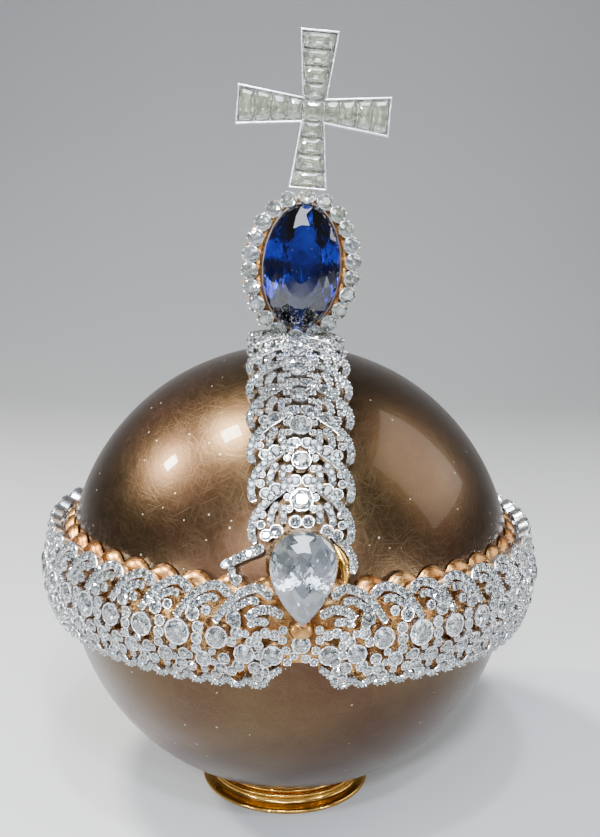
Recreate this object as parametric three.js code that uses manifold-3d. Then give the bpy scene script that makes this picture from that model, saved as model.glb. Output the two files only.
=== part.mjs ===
// Ceremonial orb: a hollow gold ball standing in a turned ring foot. A jewelled belt runs round its
// equator and a jewelled arch over its top from front to back. A large pear-cut stone marks their
// crossing at the front, and an oval blue stone in a ring of round ones carries a cross at the top.
//
// Millimetres, +Z up, front towards -Y. The origin is the centre of the foot's flat underside.
// The ball is a sealed hollow, so it is made solid.

import * as THREE from 'three';
import { mergeVertices } from 'three/addons/utils/BufferGeometryUtils.js';
import Module from 'manifold-3d';

const wasm = await Module();
wasm.setup();

// ---------------------------------------------------------------- driving dimensions

const GAP = 0.3; // fitting gap between neighbouring pieces
const BALL_RADIUS = 70;
const BALL_CENTRE = 73.8; // height of the ball's centre over the underside of the foot

const FOOT_RADIUS = 27.4;
const FOOT_RIM_RADIUS = 23.9;

const BELT_UNITS = 44; // leaves round the ball
const BELT_TOP = 17.5; // heights over the ball's centre
const BELT_BOTTOM = -10.2;
const BELT_RADIUS = 77; // at its fullest
const BELT_THICKNESS = 2.9;
const BELT_SCALLOP = 1.6; // how far the notches cut into its edges

const ARCH_START = 16; // degrees over the equator, at the front and again at the back
const ARCH_PITCH = 8.5; // degrees from one leaf unit to the next
const ARCH_RADIUS = 73.4; // at its edges
const ARCH_CROWN = 0.8; // how much fuller it is along the middle
const ARCH_HALF_WIDTH_LOW = 13.7;
const ARCH_HALF_WIDTH_HIGH = 15.1;
const ARCH_SCALLOP = 1.5;

const PEAR_LENGTH = 24.1;
const PEAR_WIDTH = 17.3;
const PEAR_CENTRE = [0, -79.6, 22]; // from the ball's centre
const PEAR_LEAN = 13; // degrees, lying back against the ball

const FINIAL_LEAN = 3.4; // degrees: the whole finial stands a little askew, towards +X
const CLUSTER_CENTRE = 94.8; // heights over the ball's centre
const CLUSTER_HALF = [18.9, 22.7];
const HALO_STONES = 22;
const HALO_STONE_RADIUS = 2.4;
const SAPPHIRE_HALF = [11.7, 19.1];

const CROSS_CENTRE = 141;
const CROSS_ARM = 23.1; // from the centre to the end of each arm
const CROSS_END_HALF = 5.9; // half widths of an arm at its end and at the crossing
const CROSS_NECK_HALF = 3.7;
const CROSS_THICKNESS = 5;
const CROSS_RIM = 0.7;
const CROSS_STONES_PER_ARM = 4;

// ---------------------------------------------------------------- materials

const material = (color, metalness, roughness) =>
  new THREE.MeshStandardMaterial({ color, metalness, roughness });
const ballGold = () => material(0x6b4a2b, 1, 0.2);
const brightGold = () => material(0xd9a441, 1, 0.18);
const warmGold = () => material(0xb57a3a, 1, 0.3);
const silver = () => material(0xc9ccd2, 1, 0.25);
const colourlessStone = () => material(0xeef2f8, 0, 0.02);
const blueStone = () => material(0x0f1f8c, 0, 0.03);

// ---------------------------------------------------------------- helpers

const rad = THREE.MathUtils.degToRad;
const point = (x, y) => new THREE.Vector2(x, y);

function movePoints(geometry, move) {
  const place = geometry.getAttribute('position');
  for (let i = 0; i < place.count; i++) {
    const moved = move(place.getX(i), place.getY(i), place.getZ(i));
    place.setXYZ(i, moved[0], moved[1], moved[2]);
  }
  return geometry;
}

// A turned piece with its axis along +Z, from (radius, height) points.
function turned(profile, segments) {
  return new THREE.LatheGeometry(profile, segments).rotateX(Math.PI / 2);
}

// An upright plate: the shape's x stays x, its y becomes height, and it fills front..back along Y.
function upright(shape, front, back, curveSegments = 12) {
  const plate = new THREE.ExtrudeGeometry(shape, {
    depth: back - front,
    bevelEnabled: false,
    curveSegments,
  });
  return plate.rotateX(Math.PI / 2).translate(0, back, 0);
}

function toSolid(geometry) {
  const bare = geometry.clone();
  bare.deleteAttribute('normal');
  bare.deleteAttribute('uv');
  const merged = mergeVertices(bare, 1e-4);
  return new wasm.Manifold(new wasm.Mesh({
    numProp: 3,
    vertProperties: Float32Array.from(merged.getAttribute('position').array),
    triVerts: Uint32Array.from(merged.getIndex().array),
  }));
}

function fromSolid(solid) {
  const { vertProperties, triVerts } = solid.getMesh();
  const geometry = new THREE.BufferGeometry();
  geometry.setAttribute('position', new THREE.BufferAttribute(vertProperties, 3));
  geometry.setIndex(new THREE.BufferAttribute(triVerts, 1));
  return geometry;
}

// 0 in the notch between two leaves and 1 at the middle of a leaf, rounded like a petal.
function petal(turns) {
  return Math.sqrt(Math.abs(Math.sin(Math.PI * turns)));
}

const ellipse = ([halfWidth, halfHeight]) => (angle) =>
  [halfWidth * Math.sin(angle), halfHeight * Math.cos(angle)];

// Outline of a pear-cut stone with its point down, as a function of the angle from the top.
function pearOutline(length, width, grow = 0) {
  const widest = 0.77; // brings the fullest part of the formula to the given width
  return (angle) => {
    const t = angle + Math.PI;
    const side = Math.sin(t) * Math.abs(Math.sin(t / 2)) ** 0.8;
    return [-(width / 2 + grow) * side / widest, -(length / 2 + grow) * Math.cos(t)];
  };
}

function outlineShape(outline, count) {
  const points = [];
  for (let i = 0; i < count; i++) points.push(point(...outline(-2 * Math.PI * i / count)));
  return new THREE.Shape(points);
}

// A cut stone facing the front, its girdle in the plane y = 0: a flat table on a sloping crown,
// and a pavilion narrowing to a small culet behind.
function cutStone({ outline, segments, table, crown, pavilion, culet = 0.02, turn = 0 }) {
  const profile = [
    point(0, -pavilion), point(culet, -pavilion), point(1, 0), point(table, crown), point(0, crown),
  ];
  const stone = new THREE.LatheGeometry(profile, segments);
  return movePoints(stone, (x, y, z) => {
    const reach = Math.hypot(x, z);
    const [across, up] = outline(Math.atan2(x, z) + turn);
    return [-across * reach, -y, up * reach];
  });
}

const orb = new THREE.Group();

function add(name, geometry, finish, parent = orb) {
  const piece = new THREE.Mesh(geometry, finish);
  piece.name = name;
  parent.add(piece);
  return piece;
}

// ---------------------------------------------------------------- foot and ball

function footGeometry() {
  const seatRadius = BALL_RADIUS + GAP;
  const seatHeight = (radius) => BALL_CENTRE - Math.sqrt(seatRadius ** 2 - radius ** 2);
  const rimHeight = seatHeight(FOOT_RIM_RADIUS);
  const profile = [
    point(0, 0),
    point(FOOT_RADIUS - 0.5, 0),
    point(FOOT_RADIUS, 0.5),
    point(FOOT_RADIUS, 1.3),
    point(FOOT_RADIUS - 0.9, 2.0),
    point(FOOT_RADIUS - 2.9, 2.7),
    point(FOOT_RADIUS - 3.3, 3.6),
    point(FOOT_RADIUS - 2.4, 4.3),
    point(FOOT_RADIUS - 2.4, 4.9),
    point(FOOT_RADIUS - 3.6, 5.5),
    point(FOOT_RADIUS - 3.1, 6.3),
    point(FOOT_RADIUS - 3.1, rimHeight - 0.4),
    point(FOOT_RIM_RADIUS, rimHeight),
  ];
  for (const share of [0.6, 0]) {
    const radius = FOOT_RIM_RADIUS * share;
    profile.push(point(radius, seatHeight(radius)));
  }
  return turned(profile, 36);
}

add('foot', footGeometry(), brightGold());
const ballGeometry = new THREE.SphereGeometry(BALL_RADIUS, 36, 18).rotateX(Math.PI / 2);
add('ball', ballGeometry, ballGold()).position.z = BALL_CENTRE;

// ---------------------------------------------------------------- belt

// The belt's outer curve: its radius at a height over the ball's centre.
function beltOuterRadius(height) {
  const middle = (BELT_TOP + BELT_BOTTOM) / 2;
  const share = (height - middle) / (BELT_TOP - middle);
  const lean = 0.35 * share;
  return BELT_RADIUS - 2.6 * share ** 2 - lean;
}

function beltGarlandGeometry() {
  const rows = 4;
  const outer = [];
  const inner = [];
  for (let i = 0; i <= rows; i++) {
    const height = THREE.MathUtils.lerp(BELT_BOTTOM, BELT_TOP, i / rows);
    outer.push(point(beltOuterRadius(height), height));
    if (i % 2 === 0) inner.unshift(point(beltOuterRadius(height) - BELT_THICKNESS, height));
  }
  const ring = turned([...outer, ...inner, outer[0].clone()], BELT_UNITS * 4);
  const middle = (BELT_TOP + BELT_BOTTOM) / 2;
  return movePoints(ring, (x, y, z) => {
    const turns = Math.atan2(x, -y) / (2 * Math.PI) * BELT_UNITS;
    const share = (z - middle) / (BELT_TOP - middle);
    const notch = BELT_SCALLOP * (1 - petal(turns)) * share ** 3;
    return [x, y, z - notch];
  });
}

// The gold plate behind the garland hugs the ball. Its lobes rise between the leaves.
function beltBackingGeometry() {
  const inner = BALL_RADIUS + GAP;
  const innerRadius = (height) => Math.sqrt(inner ** 2 - height ** 2);
  const lobeTop = 18;
  const waist = 11;
  const profile = [
    point(innerRadius(-8.5), -8.5),
    point(71.5, -8.5),
    point(72.8, 0),
    point(72.2, waist),
    point(70.4, lobeTop),
    point(innerRadius(lobeTop), lobeTop),
    point(innerRadius(waist), waist),
    point(inner, 0),
  ];
  const ring = turned([...profile, profile[0].clone()], BELT_UNITS * 3);
  return movePoints(ring, (x, y, z) => {
    const turns = Math.atan2(x, -y) / (2 * Math.PI) * BELT_UNITS + 0.5;
    const rise = Math.max(0, (z - waist) / (lobeTop - waist));
    const drop = 3.4 * (1 - petal(turns)) * rise;
    // a lowered point moves out with the ball's slope, so that the plate keeps clear of it
    const radius = Math.hypot(x, y);
    const shift = innerRadius(z - drop) - innerRadius(z);
    const grow = (radius + shift) / radius;
    return [x * grow, y * grow, z - drop];
  });
}

const belt = new THREE.Group();
belt.position.z = BALL_CENTRE;
orb.add(belt);
add('belt_backing', beltBackingGeometry(), warmGold(), belt);
add('belt_garland', beltGarlandGeometry(), silver(), belt);

// ---------------------------------------------------------------- arch

function archGeometry() {
  const stepsPerUnit = 4;
  const halfSweep = 90 - ARCH_START;
  const steps = 2 * Math.round(halfSweep / ARCH_PITCH * stepsPerUnit / 2) * 2;
  const inner = BALL_RADIUS + GAP + 0.1;
  const points = [];
  for (const radius of [ARCH_RADIUS, inner]) {
    for (let i = 0; i <= steps; i++) {
      const share = radius === inner ? 1 - i / steps : i / steps;
      const angle = rad(ARCH_START + 2 * halfSweep * share);
      points.push(point(radius * Math.cos(angle), radius * Math.sin(angle)));
    }
  }
  const bandSteps = 4;
  const band = new THREE.ExtrudeGeometry(new THREE.Shape(points), {
    depth: 2,
    steps: bandSteps,
    bevelEnabled: false,
  });
  // shape x runs back to front, shape y is height, and depth 0..2 becomes the width -1..1
  return movePoints(band, (x, y, z) => {
    const fromTop = Math.abs(THREE.MathUtils.radToDeg(Math.atan2(x, y)));
    const across = z - 1;
    const climb = THREE.MathUtils.smoothstep(90 - fromTop, ARCH_START, 70);
    const fullWidth = THREE.MathUtils.lerp(ARCH_HALF_WIDTH_LOW, ARCH_HALF_WIDTH_HIGH, climb);
    const turns = (fromTop - 2.7) / ARCH_PITCH;
    const width = fullWidth - ARCH_SCALLOP * (1 - petal(turns)) * Math.abs(across);
    const isOuter = Math.hypot(x, y) > (ARCH_RADIUS + inner) / 2;
    const bulge = isOuter ? 1 + ARCH_CROWN * (1 - across ** 2) / ARCH_RADIUS : 1;
    return [-across * width, -x * bulge, y * bulge];
  });
}

// The ring of stones and its mount stand in a slot cut into the top of the arch.
const SLOT_GAP = 0.7;

function archWithSlot() {
  const seat = outlineShape(ellipse(CLUSTER_HALF.map((half) => half + SLOT_GAP)), 48);
  const cutter = upright(seat, -9, 6)
    .translate(0, 0, CLUSTER_CENTRE - BALL_RADIUS)
    .rotateY(rad(FINIAL_LEAN))
    .translate(0, 0, BALL_RADIUS);
  return fromSolid(toSolid(archGeometry()).subtract(toSolid(cutter)));
}

add('arch_garland', archWithSlot(), silver()).position.z = BALL_CENTRE;

// ---------------------------------------------------------------- pear-cut stone at the front

const front = new THREE.Group();
front.position.set(PEAR_CENTRE[0], PEAR_CENTRE[1], PEAR_CENTRE[2] + BALL_CENTRE);
front.rotation.x = rad(-PEAR_LEAN);
orb.add(front);

function pearSettingGeometry() {
  const wall = 0.8;
  const setting = outlineShape(pearOutline(PEAR_LENGTH, PEAR_WIDTH, wall), 32);
  setting.holes.push(outlineShape(pearOutline(PEAR_LENGTH, PEAR_WIDTH, 0.1), 32));
  return upright(setting, -0.6, 4.6);
}

add('pear_setting', pearSettingGeometry(), brightGold(), front);
const pearStone = cutStone({
  outline: pearOutline(PEAR_LENGTH, PEAR_WIDTH, 0.1 - GAP),
  segments: 24,
  table: 0.55,
  crown: 2.8,
  pavilion: 3.0,
  culet: 0.3,
});
add('pear_diamond', pearStone, colourlessStone(), front);

// ---------------------------------------------------------------- finial: blue stone and its halo

const finial = new THREE.Group();
finial.position.z = BALL_CENTRE + BALL_RADIUS;
finial.rotation.y = rad(FINIAL_LEAN);
orb.add(finial);

const cluster = new THREE.Group();
cluster.position.z = CLUSTER_CENTRE - BALL_RADIUS;
finial.add(cluster);

const BEZEL_FRONT = -5.0; // depths along Y of the mount's section, from front to back
const SLOPE_START = -4.6; // the face that carries the halo stones falls back towards the rim
const SLOPE_END = -2.2;
const SLOPE_INSET = 0.1; // share of the mount's width taken by the bezel
const DRUM_BACK = 4.6;
const HALO_PATH = [16.3, 20.8];

const holeOutline = ellipse(SAPPHIRE_HALF.map((half) => half + GAP));
const rimOutline = ellipse(CLUSTER_HALF);

// Angles that part an outline into equal lengths.
function evenAngles(outline, count) {
  const fine = 720;
  const lengths = [0];
  let last = outline(0);
  for (let i = 1; i <= fine; i++) {
    const next = outline(2 * Math.PI * i / fine);
    lengths.push(lengths[i - 1] + Math.hypot(next[0] - last[0], next[1] - last[1]));
    last = next;
  }
  const angles = [];
  for (let k = 0; k < count; k++) {
    const wanted = lengths[fine] * k / count;
    angles.push(2 * Math.PI * lengths.findIndex((length) => length >= wanted) / fine);
  }
  return angles;
}

// The mount's section runs from the hole for the blue stone (share 0) to the scalloped rim (share 1).
function sapphireMountGeometry() {
  const section = [
    point(0, BEZEL_FRONT),
    point(0, DRUM_BACK),
    point(0.55, DRUM_BACK),
    point(0.7, -0.6),
    point(1, -1.0),
    point(1, SLOPE_END),
    point(SLOPE_INSET, SLOPE_START),
    point(SLOPE_INSET, BEZEL_FRONT),
    point(0, BEZEL_FRONT),
  ];
  // the shares are moved off the axis, so that the turned ring keeps its hole
  const offAxis = section.map(({ x, y }) => point(x + 1, -y));
  const ring = new THREE.LatheGeometry(offAxis, HALO_STONES * 2);
  return movePoints(ring, (x, y, z) => {
    const angle = Math.atan2(x, z);
    const share = Math.hypot(x, z) - 1;
    const turns = HALO_STONES * angle / (2 * Math.PI) + 0.5;
    const scallop = 1 - 0.035 * (1 - petal(turns)) * share;
    const [across, up] = holeOutline(angle).map((hole, axis) =>
      THREE.MathUtils.lerp(hole, rimOutline(angle)[axis], share) * scallop);
    return [-across, -y, up];
  });
}

add('sapphire_mount', sapphireMountGeometry(), warmGold(), cluster);
const sapphireStone = cutStone({
  outline: ellipse(SAPPHIRE_HALF),
  segments: 24,
  table: 0.62,
  crown: 3.2,
  pavilion: 8.4,
  culet: 0.25,
});
add('sapphire', sapphireStone, blueStone(), cluster).position.y = -5.2;

const haloOutline = ellipse(HALO_PATH);
evenAngles(haloOutline, HALO_STONES).forEach((angle, index) => {
  const pavilion = 1.0;
  const stone = cutStone({
    outline: ellipse([HALO_STONE_RADIUS, HALO_STONE_RADIUS]),
    segments: 8,
    table: 0.55,
    crown: 1.0,
    pavilion,
    culet: 0.4,
  });
  const [across, up] = haloOutline(angle);
  const hole = new THREE.Vector2(...holeOutline(angle));
  const outward = new THREE.Vector2(...rimOutline(angle)).sub(hole);
  const share = new THREE.Vector2(across, up).sub(hole).length() / outward.length();
  const fall = (SLOPE_END - SLOPE_START) / (1 - SLOPE_INSET);
  const slope = Math.atan2(fall, outward.length());
  const depth = SLOPE_START + fall * (share - SLOPE_INSET);
  const lift = pavilion + GAP;
  const name = `halo_diamond_${String(index + 1).padStart(2, '0')}`;
  const piece = add(name, stone, colourlessStone(), cluster);
  const tiltAxis = new THREE.Vector3(-outward.y, 0, outward.x).normalize();
  piece.quaternion.setFromAxisAngle(tiltAxis, slope);
  const facing = new THREE.Vector3(0, -1, 0).applyQuaternion(piece.quaternion);
  piece.position.set(across, depth, up).addScaledVector(facing, lift);
});

// ---------------------------------------------------------------- finial: cross

const cross = new THREE.Group();
cross.position.z = CROSS_CENTRE - BALL_RADIUS;
finial.add(cross);

const crossHalfWidth = (distance) =>
  THREE.MathUtils.mapLinear(distance, CROSS_NECK_HALF, CROSS_ARM, CROSS_NECK_HALF, CROSS_END_HALF);

// Four straight-sided arms that widen outwards, the whole outline drawn in by an inset.
function crossShape(inset) {
  const neck = CROSS_NECK_HALF - inset;
  const end = crossHalfWidth(CROSS_ARM - inset) - inset;
  const points = [];
  for (let arm = 0; arm < 4; arm++) {
    const turn = -arm * Math.PI / 2;
    for (const [x, y] of [[-neck, neck], [-end, CROSS_ARM - inset], [end, CROSS_ARM - inset]]) {
      points.push(point(x, y).rotateAround(point(0, 0), turn));
    }
  }
  return new THREE.Shape(points);
}

const CHANNEL_FLOOR = 0.2;
const crossMount = toSolid(upright(crossShape(0), -CROSS_THICKNESS / 2, CROSS_THICKNESS / 2))
  .subtract(toSolid(upright(crossShape(CROSS_RIM), -CROSS_THICKNESS, CHANNEL_FLOOR)));
add('cross_mount', fromSolid(crossMount), silver(), cross);

// A four-sided stone between two distances from the crossing, its sides following the arm's flare.
function crossStone(start, end, halfWidthAt) {
  const middle = (start + end) / 2;
  const halfLength = (end - start) / 2;
  const corner = (angle) => {
    const up = Math.sign(Math.cos(angle)) * halfLength;
    return [Math.sign(Math.sin(angle)) * halfWidthAt(middle + up), up];
  };
  const stone = cutStone({
    outline: corner,
    segments: 4,
    turn: Math.PI / 4,
    table: 0.6,
    crown: 0.9,
    pavilion: 1.7,
    culet: 0.2,
  });
  return stone.translate(0, -1.8, middle);
}

const channelStart = CROSS_NECK_HALF - CROSS_RIM;
const channelEnd = CROSS_ARM - CROSS_RIM;
const centreHalf = channelStart - GAP / 2;
add('cross_diamond_centre', crossStone(-centreHalf, centreHalf, () => centreHalf),
  colourlessStone(), cross);
['top', 'right', 'bottom', 'left'].forEach((side, arm) => {
  const pitch = (channelEnd - channelStart) / CROSS_STONES_PER_ARM;
  for (let k = 0; k < CROSS_STONES_PER_ARM; k++) {
    const start = channelStart + k * pitch + GAP / 2;
    const end = start + pitch - GAP;
    const stone = crossStone(start, end, (at) => crossHalfWidth(at) - CROSS_RIM - GAP);
    const name = `cross_diamond_${side}_${k + 1}`;
    add(name, stone, colourlessStone(), cross).rotation.y = arm * Math.PI / 2;
  }
});

export default orb;
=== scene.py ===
"""Ceremonial orb: a polished gold ball on a turned foot, girdled and arched by openwork bands of cut
stones, with a pear-cut stone at the front and a blue stone and a cross on top.

Lengths are in millimetres and heights count from the ball's centre; the meshes are in metres.
"""

import math

import bmesh
import bpy
import numpy as np
from mathutils import Matrix, Vector


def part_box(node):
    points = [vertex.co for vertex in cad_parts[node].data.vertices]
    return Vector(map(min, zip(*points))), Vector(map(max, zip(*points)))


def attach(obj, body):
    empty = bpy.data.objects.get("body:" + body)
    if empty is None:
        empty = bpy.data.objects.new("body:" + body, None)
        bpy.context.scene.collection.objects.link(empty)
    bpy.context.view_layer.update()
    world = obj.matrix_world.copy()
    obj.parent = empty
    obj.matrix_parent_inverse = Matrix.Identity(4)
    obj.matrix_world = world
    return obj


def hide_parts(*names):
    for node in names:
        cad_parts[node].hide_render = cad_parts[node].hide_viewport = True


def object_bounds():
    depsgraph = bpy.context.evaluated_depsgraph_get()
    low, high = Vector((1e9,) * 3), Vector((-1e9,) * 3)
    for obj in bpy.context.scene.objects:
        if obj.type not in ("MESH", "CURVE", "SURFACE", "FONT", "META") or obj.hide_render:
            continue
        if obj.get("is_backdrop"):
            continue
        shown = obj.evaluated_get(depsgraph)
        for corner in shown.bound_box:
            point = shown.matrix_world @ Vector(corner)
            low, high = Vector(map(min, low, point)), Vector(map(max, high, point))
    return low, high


bl_info = {
    "name": "Ceremonial Orb",
    "version": (1, 0, 0),
    "blender": (4, 5, 0),
    "location": "View3D > Sidebar > Orb",
    "description": "Builds a jewelled ceremonial orb around its packed frame",
    "category": "Add Mesh",
}

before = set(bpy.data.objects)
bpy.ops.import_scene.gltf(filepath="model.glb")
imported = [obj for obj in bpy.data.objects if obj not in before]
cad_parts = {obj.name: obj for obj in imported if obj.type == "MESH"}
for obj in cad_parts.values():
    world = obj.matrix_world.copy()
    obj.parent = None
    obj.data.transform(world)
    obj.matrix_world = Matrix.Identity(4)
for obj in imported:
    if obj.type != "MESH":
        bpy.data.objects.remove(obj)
CAD_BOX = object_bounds()

MM = 0.001
BODY = "root"


def add_object(name, data):
    """A new object in the scene."""
    made = bpy.data.objects.new(name, data)
    bpy.context.scene.collection.objects.link(made)
    return made


def node_middle(name):
    """Middle of a CAD node's box."""
    low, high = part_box(name)
    return (low + high) / 2


BALL_CENTRE = node_middle("ball")
BALL_RADIUS = (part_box("ball")[1].z - BALL_CENTRE.z) / MM
BELT_TOP = (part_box("belt_garland")[1].z - BALL_CENTRE.z) / MM
BELT_BOTTOM = (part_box("belt_garland")[0].z - BALL_CENTRE.z) / MM
BELT_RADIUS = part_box("belt_garland")[1].x / MM
FOOT_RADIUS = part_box("foot")[1].x / MM


# ---------------------------------------------------------------- sizes and colours

class OrbSizes(bpy.types.PropertyGroup):
    """Sizes of the orb's fine work, in millimetres unless a unit is given."""
    belt_leaves: bpy.props.IntProperty(
        name="Belt Leaves", description="Leaves round the whole belt", default=44, min=12)
    leaf_stone: bpy.props.FloatProperty(
        name="Leaf Stone", description="Radius of the small stones along a leaf", default=0.98)
    strip_wall: bpy.props.FloatProperty(
        name="Strip Wall", description="Metal left on each side of a row of stones", default=0.12)
    grain: bpy.props.FloatProperty(
        name="Grain", description="Radius of the grains that hold the small stones", default=0.24)
    arch_pitch: bpy.props.FloatProperty(
        name="Arch Pitch", description="Degrees from one fountain of the arch to the next",
        default=8.5)
    finial_lean: bpy.props.FloatProperty(
        name="Finial Lean", description="How far the blue stone and cross stand askew",
        default=math.radians(3.4), subtype="ANGLE")
    pear_lean: bpy.props.FloatProperty(
        name="Pear Lean", description="How far the pear-cut stone lies back",
        default=math.radians(13), subtype="ANGLE")
    halo_stones: bpy.props.IntProperty(
        name="Halo Stones", description="Round stones about the blue one", default=22, min=8)
    cross_stones: bpy.props.IntProperty(
        name="Cross Stones", description="Square stones in each arm of the cross", default=4, min=1)


def colour_property(name, description, value):
    """A colour a user may change."""
    return bpy.props.FloatVectorProperty(
        name=name, description=description, default=value, size=4, subtype="COLOR", min=0, max=1)


class OrbColours(bpy.types.PropertyGroup):
    """Colours of the metals, stones and stage."""
    # Painted shade: the ball's gold is set far darker and browner than real gold, standing in for the dark
    # surroundings it would reflect.
    ball_gold: colour_property(
        "Ball Gold", "Brownish polished gold of the ball", (0.085, 0.052, 0.023, 1))
    ball_gold_deep: colour_property(
        "Ball Gold Deep", "Redder patches in the ball's gold", (0.060, 0.026, 0.014, 1))
    bright_gold: colour_property(
        "Bright Gold", "Yellow gold of the foot and pear setting", (0.62, 0.36, 0.075, 1))
    bright_gold_deep: colour_property(
        "Bright Gold Deep", "Darker drift in the yellow gold", (0.36, 0.17, 0.03, 1))
    warm_gold: colour_property(
        "Warm Gold", "Pale gold of the plates behind the stones", (0.52, 0.31, 0.12, 1))
    # Painted shade: this darker orange-brown stands in for the shade in the gaps of the belt plates,
    # though the colour drift lays it at random over the plate.
    warm_gold_painted_shade: colour_property(
        "Warm Gold Deep", "Orange-brown in the plates' hollows", (0.19, 0.062, 0.010, 1))
    silver: colour_property(
        "Silver", "Bright metal that holds the small stones", (0.80, 0.82, 0.86, 1))
    silver_deep: colour_property(
        "Silver Deep", "Tarnished drift in the silver", (0.38, 0.32, 0.26, 1))
    diamond_cool: colour_property(
        "Diamond Cool", "Bluish white stones", (0.86, 0.91, 1.0, 1))
    diamond_warm: colour_property(
        "Diamond Warm", "Stones with a yellow-green cast", (0.90, 0.92, 0.70, 1))
    # Painted shade: the darker facets inside the clear stones are this colour painted into their surface,
    # standing in for light they do not catch.
    diamond_shade: colour_property(
        "Diamond Shade", "Darker facets inside the clear stones", (0.15, 0.17, 0.18, 1))
    blue_light: colour_property(
        "Blue Light", "Paler zones of the blue stone", (0.015, 0.04, 0.46, 1))
    blue_deep: colour_property(
        "Blue Deep", "Main body of the blue stone", (0.002, 0.005, 0.12, 1))
    stage: colour_property(
        "Stage", "Floor and backdrop", (0.37, 0.37, 0.37, 1))


def sizes():
    return bpy.context.scene.orb_sizes


def colours():
    return bpy.context.scene.orb_colours


# ---------------------------------------------------------------- shared shader groups

class Wiring:
    """A little help for laying out a node tree."""

    def __init__(self, tree):
        self.tree = tree

    def node(self, kind, values=(), **settings):
        made = self.tree.nodes.new(kind)
        for key, value in settings.items():
            setattr(made, key, value)
        for key, value in dict(values).items():
            if isinstance(value, bpy.types.NodeSocket):
                self.tree.links.new(value, made.inputs[key])
            else:
                made.inputs[key].default_value = value
        return made

    def maths(self, operation, a, b=0.0, clamp=False):
        return self.node("ShaderNodeMath", {0: a, 1: b}, operation=operation,
                         use_clamp=clamp).outputs[0]

    def spread(self, value, low, high):
        """Value mapped from low..high to 0..1 and held there."""
        mapped = self.node("ShaderNodeMapRange", {"Value": value, "From Min": low, "From Max": high})
        return mapped.outputs["Result"]

    def blend(self, share, a, b):
        mix = self.node("ShaderNodeMixRGB", {"Fac": share, "Color1": a, "Color2": b})
        return mix.outputs["Color"]


def shader_group(name, inputs, outputs):
    """A new node group with its named sockets, as (tree, wiring, inputs, output node)."""
    tree = bpy.data.node_groups.new(name, "ShaderNodeTree")
    for label, kind, value in inputs:
        socket = tree.interface.new_socket(label, in_out="INPUT", socket_type=kind)
        if value is not None:
            socket.default_value = value
    for label, kind in outputs:
        tree.interface.new_socket(label, in_out="OUTPUT", socket_type=kind)
    wiring = Wiring(tree)
    return tree, wiring, wiring.node("NodeGroupInput").outputs, wiring.node("NodeGroupOutput")


FLOAT = "NodeSocketFloat"
COLOUR = "NodeSocketColor"
VECTOR = "NodeSocketVector"


HAIRLINE_TURNS = (0.3, 0.95, 1.5, 2.1, 2.8)
HAIRLINE_STRETCH = 26.0
SPECK_RARITY = 0.8
DRIFT_SOFTNESS = 0.16
# Spread of the painted facet highlights and painted shade in the clear stones.
PAINTED_GLINT_RANGE = (0.42, 0.78)


def hairline_group():
    """Fine straight scratches lying in several directions, as a mask."""
    tree, wiring, given, out = shader_group(
        "Hairlines", [("Vector", VECTOR, None), ("Fineness", FLOAT, 1.0)], [("Mask", FLOAT)])
    scaled = wiring.node("ShaderNodeVectorMath",
                         {0: given["Vector"], "Scale": given["Fineness"]}, operation="SCALE")
    total = None
    for turn in HAIRLINE_TURNS:
        laid = wiring.node("ShaderNodeMapping",
                           {"Vector": scaled.outputs[0], "Rotation": (0, 0, turn),
                            "Scale": (1.0, HAIRLINE_STRETCH, 1.0)}, vector_type="TEXTURE")
        noise = wiring.node("ShaderNodeTexNoise", {"Vector": laid.outputs[0], "Scale": 1.0,
                                                   "Detail": 1.0, "Roughness": 0.4})
        line = wiring.spread(noise.outputs["Fac"], 0.57, 0.72)
        total = line if total is None else wiring.maths("MAXIMUM", total, line)
    wiring.tree.links.new(total, out.inputs["Mask"])
    return tree


def speck_group():
    """Scattered dust and tiny pits, as a mask."""
    tree, wiring, given, out = shader_group(
        "Specks", [("Vector", VECTOR, None), ("Density", FLOAT, 400.0), ("Size", FLOAT, 0.12)],
        [("Mask", FLOAT)])
    cells = wiring.node("ShaderNodeTexVoronoi",
                        {"Vector": given["Vector"], "Scale": given["Density"]})
    chosen = wiring.node("ShaderNodeSeparateColor", {"Color": cells.outputs["Color"]})
    rare = wiring.maths("GREATER_THAN", chosen.outputs["Red"], SPECK_RARITY)
    small = wiring.maths("LESS_THAN", cells.outputs["Distance"], given["Size"])
    wiring.tree.links.new(wiring.maths("MULTIPLY", rare, small), out.inputs["Mask"])
    return tree


def drift_group():
    """A slow wander between two colours, with the wander itself as a mask."""
    tree, wiring, given, out = shader_group(
        "Colour Drift",
        [("Vector", VECTOR, None), ("Scale", FLOAT, 30.0), ("Balance", FLOAT, 0.5),
         ("Main", COLOUR, None), ("Other", COLOUR, None)],
        [("Color", COLOUR), ("Mask", FLOAT)])
    noise = wiring.node("ShaderNodeTexNoise", {"Vector": given["Vector"], "Scale": given["Scale"],
                                               "Detail": 4.0, "Roughness": 0.6})
    low = wiring.maths("SUBTRACT", given["Balance"], DRIFT_SOFTNESS)
    high = wiring.maths("ADD", given["Balance"], DRIFT_SOFTNESS)
    share = wiring.spread(noise.outputs["Fac"], low, high)
    wiring.tree.links.new(wiring.blend(share, given["Main"], given["Other"]), out.inputs["Color"])
    wiring.tree.links.new(share, out.inputs["Mask"])
    return tree


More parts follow.
